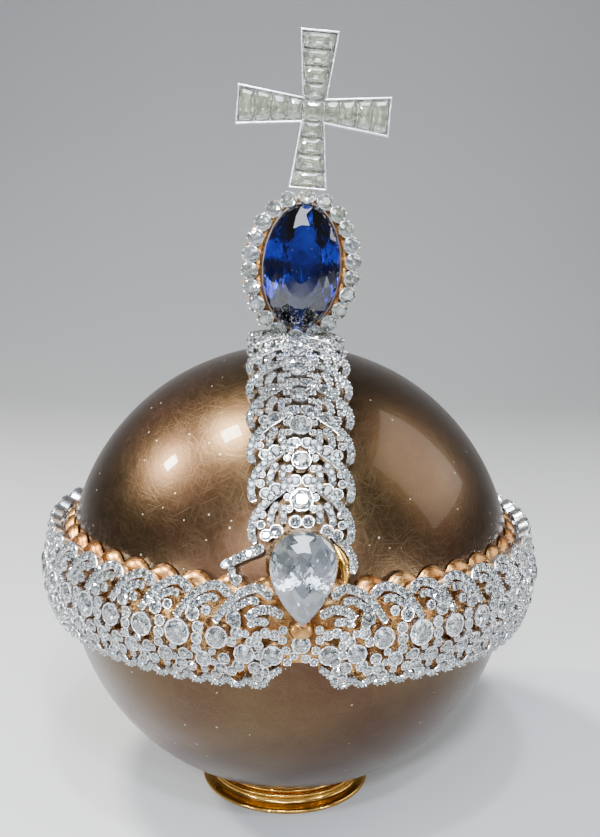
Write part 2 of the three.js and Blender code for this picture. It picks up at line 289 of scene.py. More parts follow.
def painted_glint_group():
    """Painted highlights and painted shade: light and dark patches laid into a clear stone's colour to
    stand in for the sparkle of light on the facets inside a cut stone, as a mask.
    """
    tree, wiring, given, out = shader_group(
        "Painted Facet Glints", [("Vector", VECTOR, None), ("Fineness", FLOAT, 1500.0)], [("Mask", FLOAT)])
    cells = wiring.node("ShaderNodeTexVoronoi",
                        {"Vector": given["Vector"], "Scale": given["Fineness"]})
    chosen = wiring.node("ShaderNodeSeparateColor", {"Color": cells.outputs["Color"]})
    painted_glints = wiring.spread(chosen.outputs["Red"], *PAINTED_GLINT_RANGE)
    wiring.tree.links.new(painted_glints, out.inputs["Mask"])
    return tree


def shared(name, build):
    """The shader group of that name, built the first time it is asked for."""
    return bpy.data.node_groups.get(name) or build()


def place_group(wiring, name, build, values):
    made = wiring.node("ShaderNodeGroup", node_tree=shared(name, build))
    for key, value in values.items():
        if isinstance(value, bpy.types.NodeSocket):
            wiring.tree.links.new(value, made.inputs[key])
        else:
            made.inputs[key].default_value = value
    return made.outputs


# ---------------------------------------------------------------- materials

def blank_material(name):
    """A material with only its surface shader, as (material, wiring, shader, object coordinates)."""
    material = bpy.data.materials.new(name)
    material.use_nodes = True
    wiring = Wiring(material.node_tree)
    shader = material.node_tree.nodes["Principled BSDF"]
    where = wiring.node("ShaderNodeTexCoord").outputs["Object"]
    return material, wiring, shader, where


DUST_COLOUR = (0.95, 0.85, 0.68, 1)
DUST_DENSITY = 330.0
DUST_SIZE = 0.10
DIAMOND_IOR = 2.42
SAPPHIRE_IOR = 1.77


def metal(name, main, other, roughness, fineness, marks, drift=60.0, balance=0.5, dust=0.0,
          skin=None):
    """Polished metal whose colour drifts, with hairline marks in its gloss and surface. The marks
    lie on the named UV map where the piece has one."""
    found = bpy.data.materials.get(name)
    if found:
        return found
    material, wiring, shader, where = blank_material(name)
    link = wiring.tree.links.new
    tone = place_group(wiring, "Colour Drift", drift_group, {
        "Vector": where, "Scale": drift, "Balance": balance, "Main": main, "Other": other})
    laid = wiring.node("ShaderNodeUVMap", uv_map=skin).outputs["UV"] if skin else where
    lines = place_group(wiring, "Hairlines", hairline_group, {
        "Vector": laid, "Fineness": fineness})
    paler = [min(1.0, channel * 1.5 + 0.05) for channel in main[:3]] + [1]
    share = wiring.maths("MULTIPLY", lines["Mask"], marks)
    colour = wiring.blend(share, tone["Color"], paler)
    rough = wiring.maths("ADD", wiring.maths("MULTIPLY", lines["Mask"], marks * 0.5), roughness)
    rough = wiring.maths("ADD", rough, wiring.maths("MULTIPLY", tone["Mask"], roughness * 0.35))
    if dust:
        specks = place_group(wiring, "Specks", speck_group, {
            "Vector": where, "Density": DUST_DENSITY, "Size": DUST_SIZE})
        faint = wiring.maths("MULTIPLY", specks["Mask"], dust)
        colour = wiring.blend(faint, colour, DUST_COLOUR)
        rough = wiring.maths("ADD", rough, wiring.maths("MULTIPLY", faint, 0.5))
    link(colour, shader.inputs["Base Color"])
    link(rough, shader.inputs["Roughness"])
    shader.inputs["Metallic"].default_value = 1.0
    bump = wiring.node("ShaderNodeBump", {"Height": lines["Mask"], "Strength": 0.25,
                                          "Distance": 0.00004}, invert=True)
    link(bump.outputs["Normal"], shader.inputs["Normal"])
    return material


def ball_gold():
    paint = colours()
    # Its dark base colour is painted shade for dark reflected surroundings.
    material = metal("polished_ball_gold", paint.ball_gold, paint.ball_gold_deep, roughness=0.27,
                     fineness=3000.0, marks=0.13, drift=22.0, balance=0.55, dust=0.35, skin="skin")
    shader = material.node_tree.nodes["Principled BSDF"]
    shader.inputs["Coat Weight"].default_value = 0.16
    shader.inputs["Coat Roughness"].default_value = 0.03
    return material


def bright_gold():
    paint = colours()
    return metal("turned_bright_gold", paint.bright_gold, paint.bright_gold_deep, roughness=0.14,
                 fineness=2400.0, marks=0.2, drift=90.0)


def warm_gold():
    paint = colours()
    # The low balance spreads the painted shade colour over more of the plate.
    return metal("chased_warm_gold", paint.warm_gold, paint.warm_gold_painted_shade, roughness=0.22,
                 fineness=2600.0, marks=0.2, drift=160.0, balance=0.42)


def silver():
    paint = colours()
    return metal("setting_silver", paint.silver, paint.silver_deep, roughness=0.2, fineness=3200.0,
                 marks=0.15, drift=260.0, balance=0.62)


def diamond(name="diamond", cloud=420.0, balance=0.55, facets=1500.0, clearness=0.97,
            shading=0.75):
    """Clear stone, some cooler and some yellower, with painted highlights and painted shade in its colour
    standing in for the sparkle of light on the facets inside it.
    """
    found = bpy.data.materials.get(name)
    if found:
        return found
    paint = colours()
    material, wiring, shader, where = blank_material(name)
    tone = place_group(wiring, "Colour Drift", drift_group, {
        "Vector": where, "Scale": cloud, "Balance": balance, "Main": paint.diamond_cool,
        "Other": paint.diamond_warm})
    painted_glints = place_group(wiring, "Painted Facet Glints", painted_glint_group, {"Vector": where, "Fineness": facets})
    # Painted shade: patches of the stone's colour are pulled towards the shade colour, and the rest stay
    # pale as painted highlights.
    shade = wiring.maths("MULTIPLY", painted_glints["Mask"], shading)
    wiring.tree.links.new(wiring.blend(shade, tone["Color"], paint.diamond_shade),
                          shader.inputs["Base Color"])
    wiring.tree.links.new(wiring.maths("MULTIPLY", tone["Mask"], 0.03), shader.inputs["Roughness"])
    shader.inputs["Metallic"].default_value = 0.0
    shader.inputs["Transmission Weight"].default_value = clearness
    shader.inputs["IOR"].default_value = DIAMOND_IOR
    return material


def sapphire_blue():
    paint = colours()
    material, wiring, shader, where = blank_material("sapphire_blue")
    tone = place_group(wiring, "Colour Drift", drift_group, {
        "Vector": where, "Scale": 70.0, "Balance": 0.56, "Main": paint.blue_deep,
        "Other": paint.blue_light})
    specks = place_group(wiring, "Specks", speck_group, {"Vector": where, "Density": 700.0,
                                                        "Size": 0.12})
    wiring.tree.links.new(tone["Color"], shader.inputs["Base Color"])
    wiring.tree.links.new(wiring.maths("MULTIPLY", specks["Mask"], 0.3), shader.inputs["Roughness"])
    shader.inputs["Metallic"].default_value = 0.0
    shader.inputs["Transmission Weight"].default_value = 1.0
    shader.inputs["IOR"].default_value = SAPPHIRE_IOR
    return material


# ---------------------------------------------------------------- mesh helpers

def piece(name, vertices, faces, material, smooth=False, crease=None):
    """A mesh object at the origin, its normals facing out. Vertices are in millimetres."""
    mesh = bpy.data.meshes.new(name)
    mesh.from_pydata([Vector(v) * MM for v in vertices], [], faces)
    work = bmesh.new()
    work.from_mesh(mesh)
    bmesh.ops.remove_doubles(work, verts=work.verts, dist=1e-7)
    bmesh.ops.recalc_face_normals(work, faces=work.faces)
    work.to_mesh(mesh)
    work.free()
    mesh.polygons.foreach_set("use_smooth", [smooth] * len(mesh.polygons))
    if smooth and crease:
        mesh.set_sharp_from_angle(angle=crease)
    made = add_object(name, mesh)
    if material:
        mesh.materials.append(material)
    return made


def settle(made, slot, *nodes):
    """Fixes a finished piece to the frame."""
    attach(made, BODY)
    if nodes:
        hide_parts(*nodes)


def from_ball(x, y, z):
    """A point given over the ball's centre, in the frame's millimetres."""
    return Vector((x, y, z)) + BALL_CENTRE / MM


def lathe(profile, segments):
    """Vertices and faces of a turned shape from (radius, height) points that start and end on the axis."""
    vertices = []
    faces = []
    rings = []
    for radius, height in profile:
        if radius < 1e-6:
            rings.append([len(vertices)])
            vertices.append((0, 0, height))
            continue
        rings.append(list(range(len(vertices), len(vertices) + segments)))
        for k in range(segments):
            angle = 2 * math.pi * k / segments
            vertices.append((radius * math.cos(angle), radius * math.sin(angle), height))
    for lower, upper in zip(rings, rings[1:]):
        for k in range(segments):
            corners = [lower[k % len(lower)], lower[(k + 1) % len(lower)],
                       upper[(k + 1) % len(upper)], upper[k % len(upper)]]
            corners = list(dict.fromkeys(corners))
            if len(corners) > 2:
                faces.append(corners)
    return vertices, faces


def ring_faces(rings, loop, first=0, closed=False):
    """Quads that join rings of points in turn, and the last ring to the first one if closed."""
    faces = []
    for ring in range(rings if closed else rings - 1):
        base, above = first + ring * loop, first + (ring + 1) % rings * loop
        for k in range(loop):
            after = (k + 1) % loop
            faces.append([base + k, base + after, above + after, above + k])
    return faces


def end_caps(rings, loop, first=0):
    """The faces that close the first ring of points and the last."""
    last = first + (rings - 1) * loop
    return [list(range(first, first + loop)), list(range(last, last + loop))]


def arc_points(centre, radius, start, end, count):
    """Points along a round stretch of a profile, by angles in degrees."""
    angles = np.radians(np.linspace(start, end, count))
    return [(centre[0] + radius * math.cos(a), centre[1] + radius * math.sin(a)) for a in angles]


def smoothstep(low, high, value):
    """0 below low, 1 above high, and an easy curve between them."""
    share = min(1.0, max(0.0, (value - low) / (high - low)))
    return share * share * (3 - 2 * share)


def flowing_line(knots, steps=10):
    """A smooth line through the knots, as an array of points."""
    given = np.array(knots, float)
    padded = np.vstack([2 * given[0] - given[1], given, 2 * given[-1] - given[-2]])
    line = []
    for before, start, end, after in zip(padded, padded[1:], padded[2:], padded[3:]):
        for t in np.linspace(0, 1, steps, endpoint=False):
            line.append(0.5 * (2 * start + (end - before) * t
                               + (2 * before - 5 * start + 4 * end - after) * t ** 2
                               + (3 * start - before - 3 * end + after) * t ** 3))
    line.append(given[-1])
    return np.array(line)


class Measured:
    """A line that can be read at any distance along it."""

    def __init__(self, line):
        self.line = line
        pieces = np.linalg.norm(np.diff(line, axis=0), axis=1)
        self.marks = np.concatenate([[0], np.cumsum(pieces)])
        self.length = self.marks[-1]

    def at(self, distance):
        return np.array([np.interp(distance, self.marks, axis) for axis in self.line.T])


# ---------------------------------------------------------------- cut stones

def cut_stone(outline, count, rows, culet_depth):
    """A faceted stone facing +Z. Rows are (scale, height, half step) from the table to the girdle
    and down the pavilion; neighbouring rows half a step apart are joined by triangles."""
    vertices = []
    faces = []
    for scale, height, shift in rows:
        for k in range(count):
            x, y = outline((k + shift) / count)
            vertices.append((x * scale, y * scale, height))
    faces.append(list(range(count)))
    for level in range(len(rows) - 1):
        upper, lower = level * count, (level + 1) * count
        shift = rows[level][2] - rows[level + 1][2]
        for k in range(count):
            after = (k + 1) % count
            if shift == 0:
                faces.append([upper + k, lower + k, lower + after, upper + after])
            elif shift > 0:
                faces.append([upper + k, lower + k, lower + after])
                faces.append([upper + k, lower + after, upper + after])
            else:
                faces.append([upper + k, lower + k, upper + after])
                faces.append([upper + after, lower + k, lower + after])
    last = (len(rows) - 1) * count
    vertices.append((0, 0, -culet_depth))
    for k in range(count):
        faces.append([last + (k + 1) % count, last + k, len(vertices) - 1])
    return vertices, faces


def circle(t):
    return math.sin(2 * math.pi * t), math.cos(2 * math.pi * t)


def ellipse(half_width, half_height):
    return lambda t: (half_width * math.sin(2 * math.pi * t), half_height * math.cos(2 * math.pi * t))


def squared(t):
    """A cushion outline: a circle pushed towards a square."""
    x, y = circle(t + 0.0625)
    push = (abs(x) ** 4 + abs(y) ** 4) ** -0.25
    return x * (0.35 + 0.65 * push), y * (0.35 + 0.65 * push)


def pear(length, width):
    """Outline of a pear-cut stone with its point down."""
    widest = 0.77

    def outline(t):
        angle = 2 * math.pi * t + math.pi
        side = math.sin(angle) * abs(math.sin(angle / 2)) ** 0.8
        return -width / 2 * side / widest, -length / 2 * math.cos(angle)
    return outline


def small_brilliant():
    return cut_stone(circle, 8, [(0.56, 0.36, 0.5), (1, 0, 0)], 0.8)


def fine_brilliant(outline=circle, count=10, culet=0.85):
    rows = [(0.52, 0.40, 0.5), (0.80, 0.23, 0), (1, 0.03, 0.5), (1, -0.03, 0.5),
            (0.55, -0.5 * culet, 0)]
    return cut_stone(outline, count, rows, culet)


# ---------------------------------------------------------------- stones and cups set on points

def setting_tree():
    """Geometry Nodes tree: one shape on every point, sized and aimed by the point's attributes."""
    found = bpy.data.node_groups.get("Set On Points")
    if found:
        return found
    tree = bpy.data.node_groups.new("Set On Points", "GeometryNodeTree")
    for label, kind, value in (("Geometry", "NodeSocketGeometry", None),
                               ("Shape", "NodeSocketObject", None),
                               ("Size", "NodeSocketFloat", 1.0),
                               ("Loose Turn", "NodeSocketFloat", 0.0),
                               ("Material", "NodeSocketMaterial", None)):
        socket = tree.interface.new_socket(label, in_out="INPUT", socket_type=kind)
        if value is not None:
            socket.default_value = value
    tree.interface.new_socket("Geometry", in_out="OUTPUT", socket_type="NodeSocketGeometry")
    wiring = Wiring(tree)
    given = wiring.node("NodeGroupInput").outputs
    radius = wiring.node("GeometryNodeInputNamedAttribute", {"Name": "size"}, data_type="FLOAT")
    aim = wiring.node("GeometryNodeInputNamedAttribute", {"Name": "aim"}, data_type="FLOAT_VECTOR")
    shape = wiring.node("GeometryNodeObjectInfo", {"Object": given["Shape"], "As Instance": True})
    least = wiring.maths("MULTIPLY", given["Loose Turn"], -1.0)
    turn = wiring.node("FunctionNodeRandomValue", {"Min": least, "Max": given["Loose Turn"],
                                                   "Seed": 17}, data_type="FLOAT")
    spin = wiring.node("ShaderNodeCombineXYZ", {"Z": turn.outputs["Value"]})
    spun = wiring.node("FunctionNodeEulerToRotation", {"Euler": spin.outputs[0]})
    aimed = wiring.node("FunctionNodeEulerToRotation", {"Euler": aim.outputs["Attribute"]})
    both = wiring.node("FunctionNodeRotateRotation",
                       {"Rotation": aimed.outputs[0], "Rotate By": spun.outputs[0]},
                       rotation_space="LOCAL")
    scale = wiring.maths("MULTIPLY", radius.outputs["Attribute"], given["Size"])
    placed = wiring.node("GeometryNodeInstanceOnPoints",
                         {"Points": given["Geometry"], "Instance": shape.outputs["Geometry"],
                          "Rotation": both.outputs[0], "Scale": scale})
    real = wiring.node("GeometryNodeRealizeInstances", {"Geometry": placed.outputs[0]})
    finish = wiring.node("GeometryNodeSetMaterial", {"Geometry": real.outputs[0],
                                                     "Material": given["Material"]})
    out = wiring.node("NodeGroupOutput")
    tree.links.new(finish.outputs[0], out.inputs[0])
    return tree


def aim_of(facing, across=None):
    """Euler angles that turn +Z to the facing and, as near as may be, +X to across."""
    up = facing.normalized()
    side = across if across is not None else Vector((0, 0, 1)).cross(up)
    if side.length < 1e-6:
        side = Vector((1, 0, 0))
    side = (side - up * side.dot(up)).normalized()
    turned = Matrix((side, up.cross(side), up)).transposed()
    return turned.to_euler()


def set_on_points(name, shape, places, material, smooth=False, size=1.0, loose=0.0):
    """One mesh of a shape repeated at (point, facing, across, radius) places."""
    points = bpy.data.meshes.new(name + "_points")
    points.from_pydata([Vector(place) * MM for place, _, _, _ in places], [], [])
    radii = points.attributes.new("size", "FLOAT", "POINT")
    radii.data.foreach_set("value", [radius for _, _, _, radius in places])
    aims = points.attributes.new("aim", "FLOAT_VECTOR", "POINT")
    aims.data.foreach_set("vector", [angle for _, facing, across, _ in places
                                     for angle in aim_of(facing, across)])
    carrier = add_object(name + "_points", points)
    pattern = piece(name + "_shape", *shape, None, smooth=smooth, crease=math.radians(40))
    tree = setting_tree()
    modifier = carrier.modifiers.new("Set On Points", "NODES")
    modifier.node_group = tree
    sockets = {item.name: item.identifier for item in tree.interface.items_tree
               if item.in_out == "INPUT"}
    modifier[sockets["Shape"]] = pattern
    modifier[sockets["Size"]] = size
    modifier[sockets["Loose Turn"]] = loose
    modifier[sockets["Material"]] = material
    bpy.context.view_layer.update()
    evaluated = carrier.evaluated_get(bpy.context.evaluated_depsgraph_get())
    mesh = bpy.data.meshes.new_from_object(evaluated)
    mesh.name = name
    made = add_object(name, mesh)
    if not mesh.polygons:
        raise RuntimeError(f"{name}: nothing was set on its points")
    for leftover in (carrier, pattern):
        data = leftover.data
        bpy.data.objects.remove(leftover)
        bpy.data.meshes.remove(data)
    return made


# ---------------------------------------------------------------- the faces that carry the jewels

BELT_DOME = 2.6
BELT_TILT = 0.35
ARCH_RADIUS = 73.4
ARCH_DOME = 0.8


def belt_face(turn, height, lift=0.0, side=1):
    """Point and facing on the belt's domed face. Turn is in leaves from the front, height over the
    ball's centre, and side is 1 towards +X and -1 towards -X."""
    middle = (BELT_TOP + BELT_BOTTOM) / 2
    half = (BELT_TOP - BELT_BOTTOM) / 2
    share = (height - middle) / half
    radius = BELT_RADIUS - BELT_DOME * share ** 2 - BELT_TILT * share
    slope = (-2 * BELT_DOME * share - BELT_TILT) / half
    out = Vector((1, 0, -slope)).normalized()
    angle = side * 2 * math.pi * turn / sizes().belt_leaves
    radius += lift * out.x
    level = height + lift * out.z
    place = from_ball(radius * math.sin(angle), -radius * math.cos(angle), level)
    return place, Vector((out.x * math.sin(angle), -out.x * math.cos(angle), out.z))


def belt_side(side):
    """The belt's face as seen from one side, with turns counted away from the front."""
    return lambda turn, height, lift=0.0: belt_face(turn, height, lift, side)


def arch_half_width(elevation):
    """Half the arch's width, which grows a little towards the top."""
    return 13.7 + 1.4 * smoothstep(16, 70, elevation)


def arch_face(across, elevation, lift=0.0, back=False):
    """Point and facing on the arch, by millimetres from its middle line and degrees of elevation."""
    share = across / arch_half_width(elevation)
    radius = ARCH_RADIUS + ARCH_DOME * (1 - share ** 2) + lift
    angle = math.radians(elevation)
    forward = 1 if back else -1
    tilt = 2 * ARCH_DOME * share / arch_half_width(elevation)
    facing = Vector((tilt, forward * math.cos(angle), math.sin(angle))).normalized()
    place = from_ball(across, forward * radius * math.cos(angle), radius * math.sin(angle))
    return place, facing


def ball_face(azimuth, elevation, lift=0.0):
    """Point and facing over the ball, by degrees round from the front and up."""
    turn, rise = math.radians(azimuth), math.radians(elevation)
    facing = Vector((math.cos(rise) * math.sin(turn), -math.cos(rise) * math.cos(turn),
                     math.sin(rise)))
    return from_ball(*(facing * (BALL_RADIUS + lift))), facing


STRIP_STEP = 1.1
STRIP_ENDS = (0.06, 0.45)
STONE_PITCH = 2.06
GRAIN_REACH = 0.78
LARGE_STONE = 1.55


class Jewelling:
    """The strips, cups, stones and grains of one band, gathered before they are made."""

    def __init__(self, depth):
        self.depth = depth
        self.vertices = []
        self.faces = []
        self.small = []
        self.large = []
        self.cushions = []
        self.cups = []
        self.grains = []
        self.clear = lambda place: True

    def strip(self, face, knots, start_radius, end_radius, scale=(1, 1), depth=None, rise=(0, 0)):
        """A channel of small stones along a line on a face. Knots are in the face's own terms,
        scale turns them to millimetres, and the stones taper from one radius to the other."""
        line = Measured(flowing_line(np.array(knots) * scale))
        wall = sizes().strip_wall

        def radius_at(distance):
            return start_radius + (end_radius - start_radius) * distance / line.length

        def spot(distance, lift=0.0):
            along = line.at(distance) / scale
            raised = rise[0] + (rise[1] - rise[0]) * distance / line.length
            return face(along[0], along[1], lift + raised)

        def lengthways(distance):
            ahead = spot(min(distance + 0.2, line.length))[0]
            behind = spot(max(distance - 0.2, 0))[0]
            return (ahead - behind).normalized()

        if not self.clear(spot(line.length / 2)[0]):
            return
        steps = max(4, round(line.length / STRIP_STEP))
        inner = np.linspace(start_radius, line.length - end_radius, steps)
        ends = np.array(STRIP_ENDS)
        distances = [*(ends * start_radius), *inner, *(line.length - ends[::-1] * end_radius)]
        first = len(self.vertices)
        deep = depth or self.depth
        for distance in distances:
            place, facing = spot(distance)
            radius = radius_at(distance)
            from_end = min(distance / start_radius, (line.length - distance) / end_radius, 1)
            width = (radius + wall) * math.sqrt(1 - (1 - from_end) ** 2 * 0.9)
            across = facing.cross(lengthways(distance))
            hollow = -0.75 * radius * from_end
            half = ((0.5, -deep), (0.84, -0.9), (0.9, -0.45), (0.74, -0.2), (0.4, hollow))
            section = [(-share, height) for share, height in half] + list(reversed(half))
            for share, height in section:
                self.vertices.append(place + across * (share * width) + facing * height)
        self.faces += ring_faces(len(distances), len(section), first)
        self.faces += end_caps(len(distances), len(section), first)
        distance = start_radius
        while distance <= line.length - end_radius * 0.9:
            radius = radius_at(distance)
            place, facing = spot(distance, 0.05)
            way = lengthways(distance)
            self.small.append((place, facing, way, radius))
            gap = distance + radius
            between, out = spot(min(gap, line.length), 0.1)
            across = out.cross(lengthways(min(gap, line.length)))
            for hand in (-1, 1):
                place = between + across * (hand * radius * GRAIN_REACH)
                self.grains.append((place, out, None, sizes().grain))
            distance += STONE_PITCH * radius

    def collet(self, face, x, y, radius, cushion=False, lift=0.15, grains=4):
        """A single stone in its own cup, held by grains."""
        place, facing = face(x, y, lift)
        if not self.clear(place):
            return
        ahead = face(x, y + 0.1, lift)[0] - place
        across = ahead.cross(facing).normalized()
        where = (place, facing, across, radius)
        kind = self.cushions if cushion else self.large if radius > LARGE_STONE else self.small
        kind.append(where)
        self.cups.append(where)
        for k in range(grains):
            angle = math.pi / 4 + 2 * math.pi * k / grains
            reach = across * math.cos(angle) + facing.cross(across) * math.sin(angle)
            size = sizes().grain * (1.0 + 0.1 * radius)
            self.grains.append((place + reach * radius * 1.02 + facing * 0.05, facing, None, size))

    def collets(self, face, places, x=0.0, y=0.0):
        """Single stones at (across, along, radius) places counted from one point."""
        for across, along, radius in places:
            self.collet(face, x + across, y + along, radius)

    def make(self, name, nodes):
        """Makes the metalwork and the stones, and fixes both to the frame."""
        metalwork = piece(name, self.vertices, self.faces, silver(), smooth=True,
                          crease=math.radians(38))
        cup_profile = [(0, -1.5), (0.9, -1.5), (1.16, -0.1), (1.12, 0.03), (0.98, 0.03),
                       (0.45, -0.7), (0, -0.75)]
        settle(metalwork, "silver", *nodes)
        for suffix, shape, places in (("cups", lathe(cup_profile, 10), self.cups),
                                      ("grains", round_grain(), self.grains)):
            settle(set_on_points(f"{name}_{suffix}", shape, places, silver(), smooth=True), "silver")
        for suffix, shape, places, loose in (
                ("small_stones", small_brilliant(), self.small, 0.5),
                ("round_stones", fine_brilliant(), self.large, 0.5),
                ("cushion_stones", fine_brilliant(squared, 8), self.cushions, 0.0)):
            if places:
                # All these stones carry painted facet shade and highlights in their colour.
                stones = set_on_points(f"{name}_{suffix}", shape, places, diamond(), loose=loose)
                settle(stones, "colourless_stone")


def round_grain():
    """A little ball of silver, coarse because it is repeated thousands of times."""
    work = bmesh.new()
    bmesh.ops.create_icosphere(work, subdivisions=1, radius=1)
    vertices = [v.co.copy() for v in work.verts]
    faces = [[v.index for v in f.verts] for f in work.faces]
    work.free()
    return vertices, faces


# ---------------------------------------------------------------- ball and foot

class ORB_OT_ball(bpy.types.Operator):
    """Raise the polished ball, its skin very slightly uneven as hand work leaves it"""
    bl_idname = "orb.ball"
    bl_label = "Ball"

    def execute(self, context):
        rings = 96
        profile = [(abs(x), y) for x, y in arc_points((0, 0), BALL_RADIUS, -90, 90, rings + 1)]
        vertices, faces = lathe(profile, 192)
        uneven = 0.05
        moved = []
        for v in map(Vector, vertices):
            way = v.normalized()
            wave = math.sin(way.x * 9 + 2.1 * way.z) * math.sin(way.z * 8 + 1.3 * way.y)
            moved.append(from_ball(*(v + way * uneven * (wave - 1))))
        made = piece("orb_ball", moved, faces, ball_gold(), smooth=True)
        self.unwrap(made.data)
        settle(made, "ball_gold", "ball")
        return {"FINISHED"}

    def unwrap(self, mesh):
        """Lays the skin out flat in metres with its seam at the back, for the polishing marks."""
        skin = mesh.uv_layers.new(name="skin")
        for face in mesh.polygons:
            centre = face.center - BALL_CENTRE
            middle = math.atan2(centre.x, -centre.y)
            for loop in face.loop_indices:
                way = mesh.vertices[mesh.loops[loop].vertex_index].co - BALL_CENTRE
                turn = math.atan2(way.x, -way.y) if math.hypot(way.x, way.y) > 1e-6 else middle
                turn -= 2 * math.pi * round((turn - middle) / (2 * math.pi))
                rise = math.asin(max(-1.0, min(1.0, way.z / way.length)))
                skin.data[loop].uv = (turn * math.cos(rise) * way.length, rise * way.length)


class ORB_OT_foot(bpy.types.Operator):
    """Turn the ring foot with its flange, hollow and beads"""
    bl_idname = "orb.foot"
    bl_label = "Foot"

    def execute(self, context):
        seat = BALL_RADIUS + 0.3
        height_of_seat = BALL_CENTRE.z / MM
        rim = FOOT_RADIUS - 3.5
        rim_height = height_of_seat - math.sqrt(seat ** 2 - rim ** 2)
        flange = FOOT_RADIUS - 0.75
        profile = [(0, 0), (FOOT_RADIUS - 2, 0)]
        profile += arc_points((flange, 0.75), 0.75, -90, 80, 9)
        profile += [(flange - 0.5, 1.62), (flange - 0.9, 1.75)]
        profile += arc_points((flange - 0.9, 3.4), 1.62, 262, 170, 9)
        profile += arc_points((FOOT_RADIUS - 3.1, 4.6), 0.62, -70, 85, 8)
        profile += [(FOOT_RADIUS - 3.3, 5.3), (FOOT_RADIUS - 3.75, 5.45)]
        profile += arc_points((FOOT_RADIUS - 3.5, 6.15), 0.5, -80, 80, 7)
        profile += [(FOOT_RADIUS - 3.6, 6.75), (FOOT_RADIUS - 3.3, 6.95), (FOOT_RADIUS - 3.2, 7.25)]
        profile += arc_points((rim - 0.05, rim_height - 0.28), 0.28, 0, 90, 4)
        for share in (0.8, 0.5, 0.2, 0):
            radius = rim * share
            profile.append((radius, height_of_seat - math.sqrt(seat ** 2 - radius ** 2)))
        vertices, faces = lathe(profile, 128)
        made = piece("orb_foot", vertices, faces, bright_gold(), smooth=True,
                     crease=math.radians(35))
        settle(made, "bright_gold", "foot")
        return {"FINISHED"}


# ---------------------------------------------------------------- belt

def front_lift(turn):
    """How far the belt's lower edge is drawn up under the pear-cut stone."""
    return 1 - smoothstep(0.35, 1.0, abs(turn))


class ORB_OT_belt_backing(bpy.types.Operator):
    """Shape the gold plate behind the belt, its domed lobes rising between the leaves"""
    bl_idname = "orb.belt_backing"
    bl_label = "Belt Backing"

    def execute(self, context):
        leaves = sizes().belt_leaves
        steps = leaves * 12
        inner = BALL_RADIUS + 0.3
        levels = [-8.5, -8.5, -6.0, 0, 6, 11, 13.5, 15.5, 17.0, 18.0, 18.0, 12, 4, -4]
        outer_levels = 10
        vertices = []
        for step in range(steps):
            angle = 2 * math.pi * step / steps - math.pi
            turn = angle / (2 * math.pi) * leaves
            lobe = math.sqrt(abs(math.sin(math.pi * (abs(turn) + 0.64))))
            for index, level in enumerate(levels):
                rise = max(0.0, (level - 11) / 7)
                height = level - 3.6 * (1 - lobe) * rise
                if level < 0:
                    height += 5.0 * front_lift(turn) * (-level / 8.5)
                skin = math.sqrt(inner ** 2 - height ** 2)
                plump = 2.4 - 1.0 * (height / 14) ** 2 + 1.1 * lobe * smoothstep(9, 13, height)
                edge = 1 - smoothstep(0.82, 1.0, rise) * 0.85
                thick = plump * edge if 0 < index < outer_levels else 0.0
                radius = skin + thick
                vertices.append(from_ball(radius * math.sin(angle), -radius * math.cos(angle),
                                          height))
        made = piece("belt_gold_plate", vertices, ring_faces(steps, len(levels), closed=True),
                     warm_gold(), smooth=True, crease=math.radians(50))
        settle(made, "warm_gold", "belt_backing")
        return {"FINISHED"}


LEAF_RIB = ((-0.36, 14.2), (-0.30, 15.9), (-0.02, 16.9), (0.36, 15.3), (0.64, 12.4), (0.82, 9.6),
            (0.93, 7.6))
LEAF_VEIN = ((-0.13, 13.4), (0.08, 14.0), (0.33, 12.7), (0.55, 10.6))
EDGE_SWAG = ((-0.24, -6.6), (-0.12, -8.9), (0.12, -9.2), (0.26, -7.0))

# Stones are (leaves round the belt, height, radius); leaves are (knots, radius) with their knots given
# in the same way. Front, middle and first ones count from the front, the others from their own leaf
# or from the middle of the back.
FRONT_LEAVES = ((((0.46, 9.9), (0.60, 11.5), (0.87, 11.9), (1.10, 11.1), (1.28, 9.4)), 1.3),
                (((0.76, 8.6), (1.00, 8.9), (1.26, 7.7)), 1.05),
                (((0.44, -3.4), (0.62, -4.8), (0.76, -6.8)), 0.9))
FRONT_STONES = ((0.43, 4.4, 1.0), (0.62, 5.6, 1.2), (0.83, 6.1, 1.2), (1.02, 5.1, 1.2),
                (1.16, 3.6, 1.2), (1.50, 5.7, 1.45), (1.62, 3.2, 1.2), (1.53, 8.2, 1.2),
                (0.42, 7.0, 1.0), (0.34, 1.7, 1.0), (0.31, -1.5, 1.0), (0.98, 2.7, 1.1),
                (1.29, 5.6, 0.9))
MIDDLE_STONES = ((0, 3.3, 2.2), (-0.16, 0.3, 1.05), (0.12, -0.5, 1.1))
FIRST_STONES = ((0.66, 0.2, 2.5), (1.32, 0.2, 2.45), (0.98, 0.1, 1.15), (1.06, -3.6, 1.6),
                (1.46, -3.3, 1.5))
ROW_STONES = ((0.45, 6.1, 1.4), (0.47, 3.1, 1.4), (0.48, 0.3, 1.2))
LOWER_STONES = ((-0.2, -1.6, 1.45), (-0.12, -4.6, 1.55), (0.62, -4.9, 1.3))
FILLING_STONES = ((0.08, 0.0, 0.9), (0.05, -3.0, 0.9), (0.66, -1.9, 0.9), (0.28, -5.3, 0.9))
BACK_COLUMN = ((0, 13.8, 1.6), (0, 9.8, 2.1), (0, 3.9, 2.9), (0, -1.0, 1.6), (0, -4.4, 1.5),
               (0, -7.3, 1.2))
BACK_PAIRS = ((0.30, -0.6, 1.0), (0.28, -3.0, 1.1), (0.27, 7.2, 1.0), (0.25, 12.2, 1.0),
              (0.28, -5.9, 1.1))


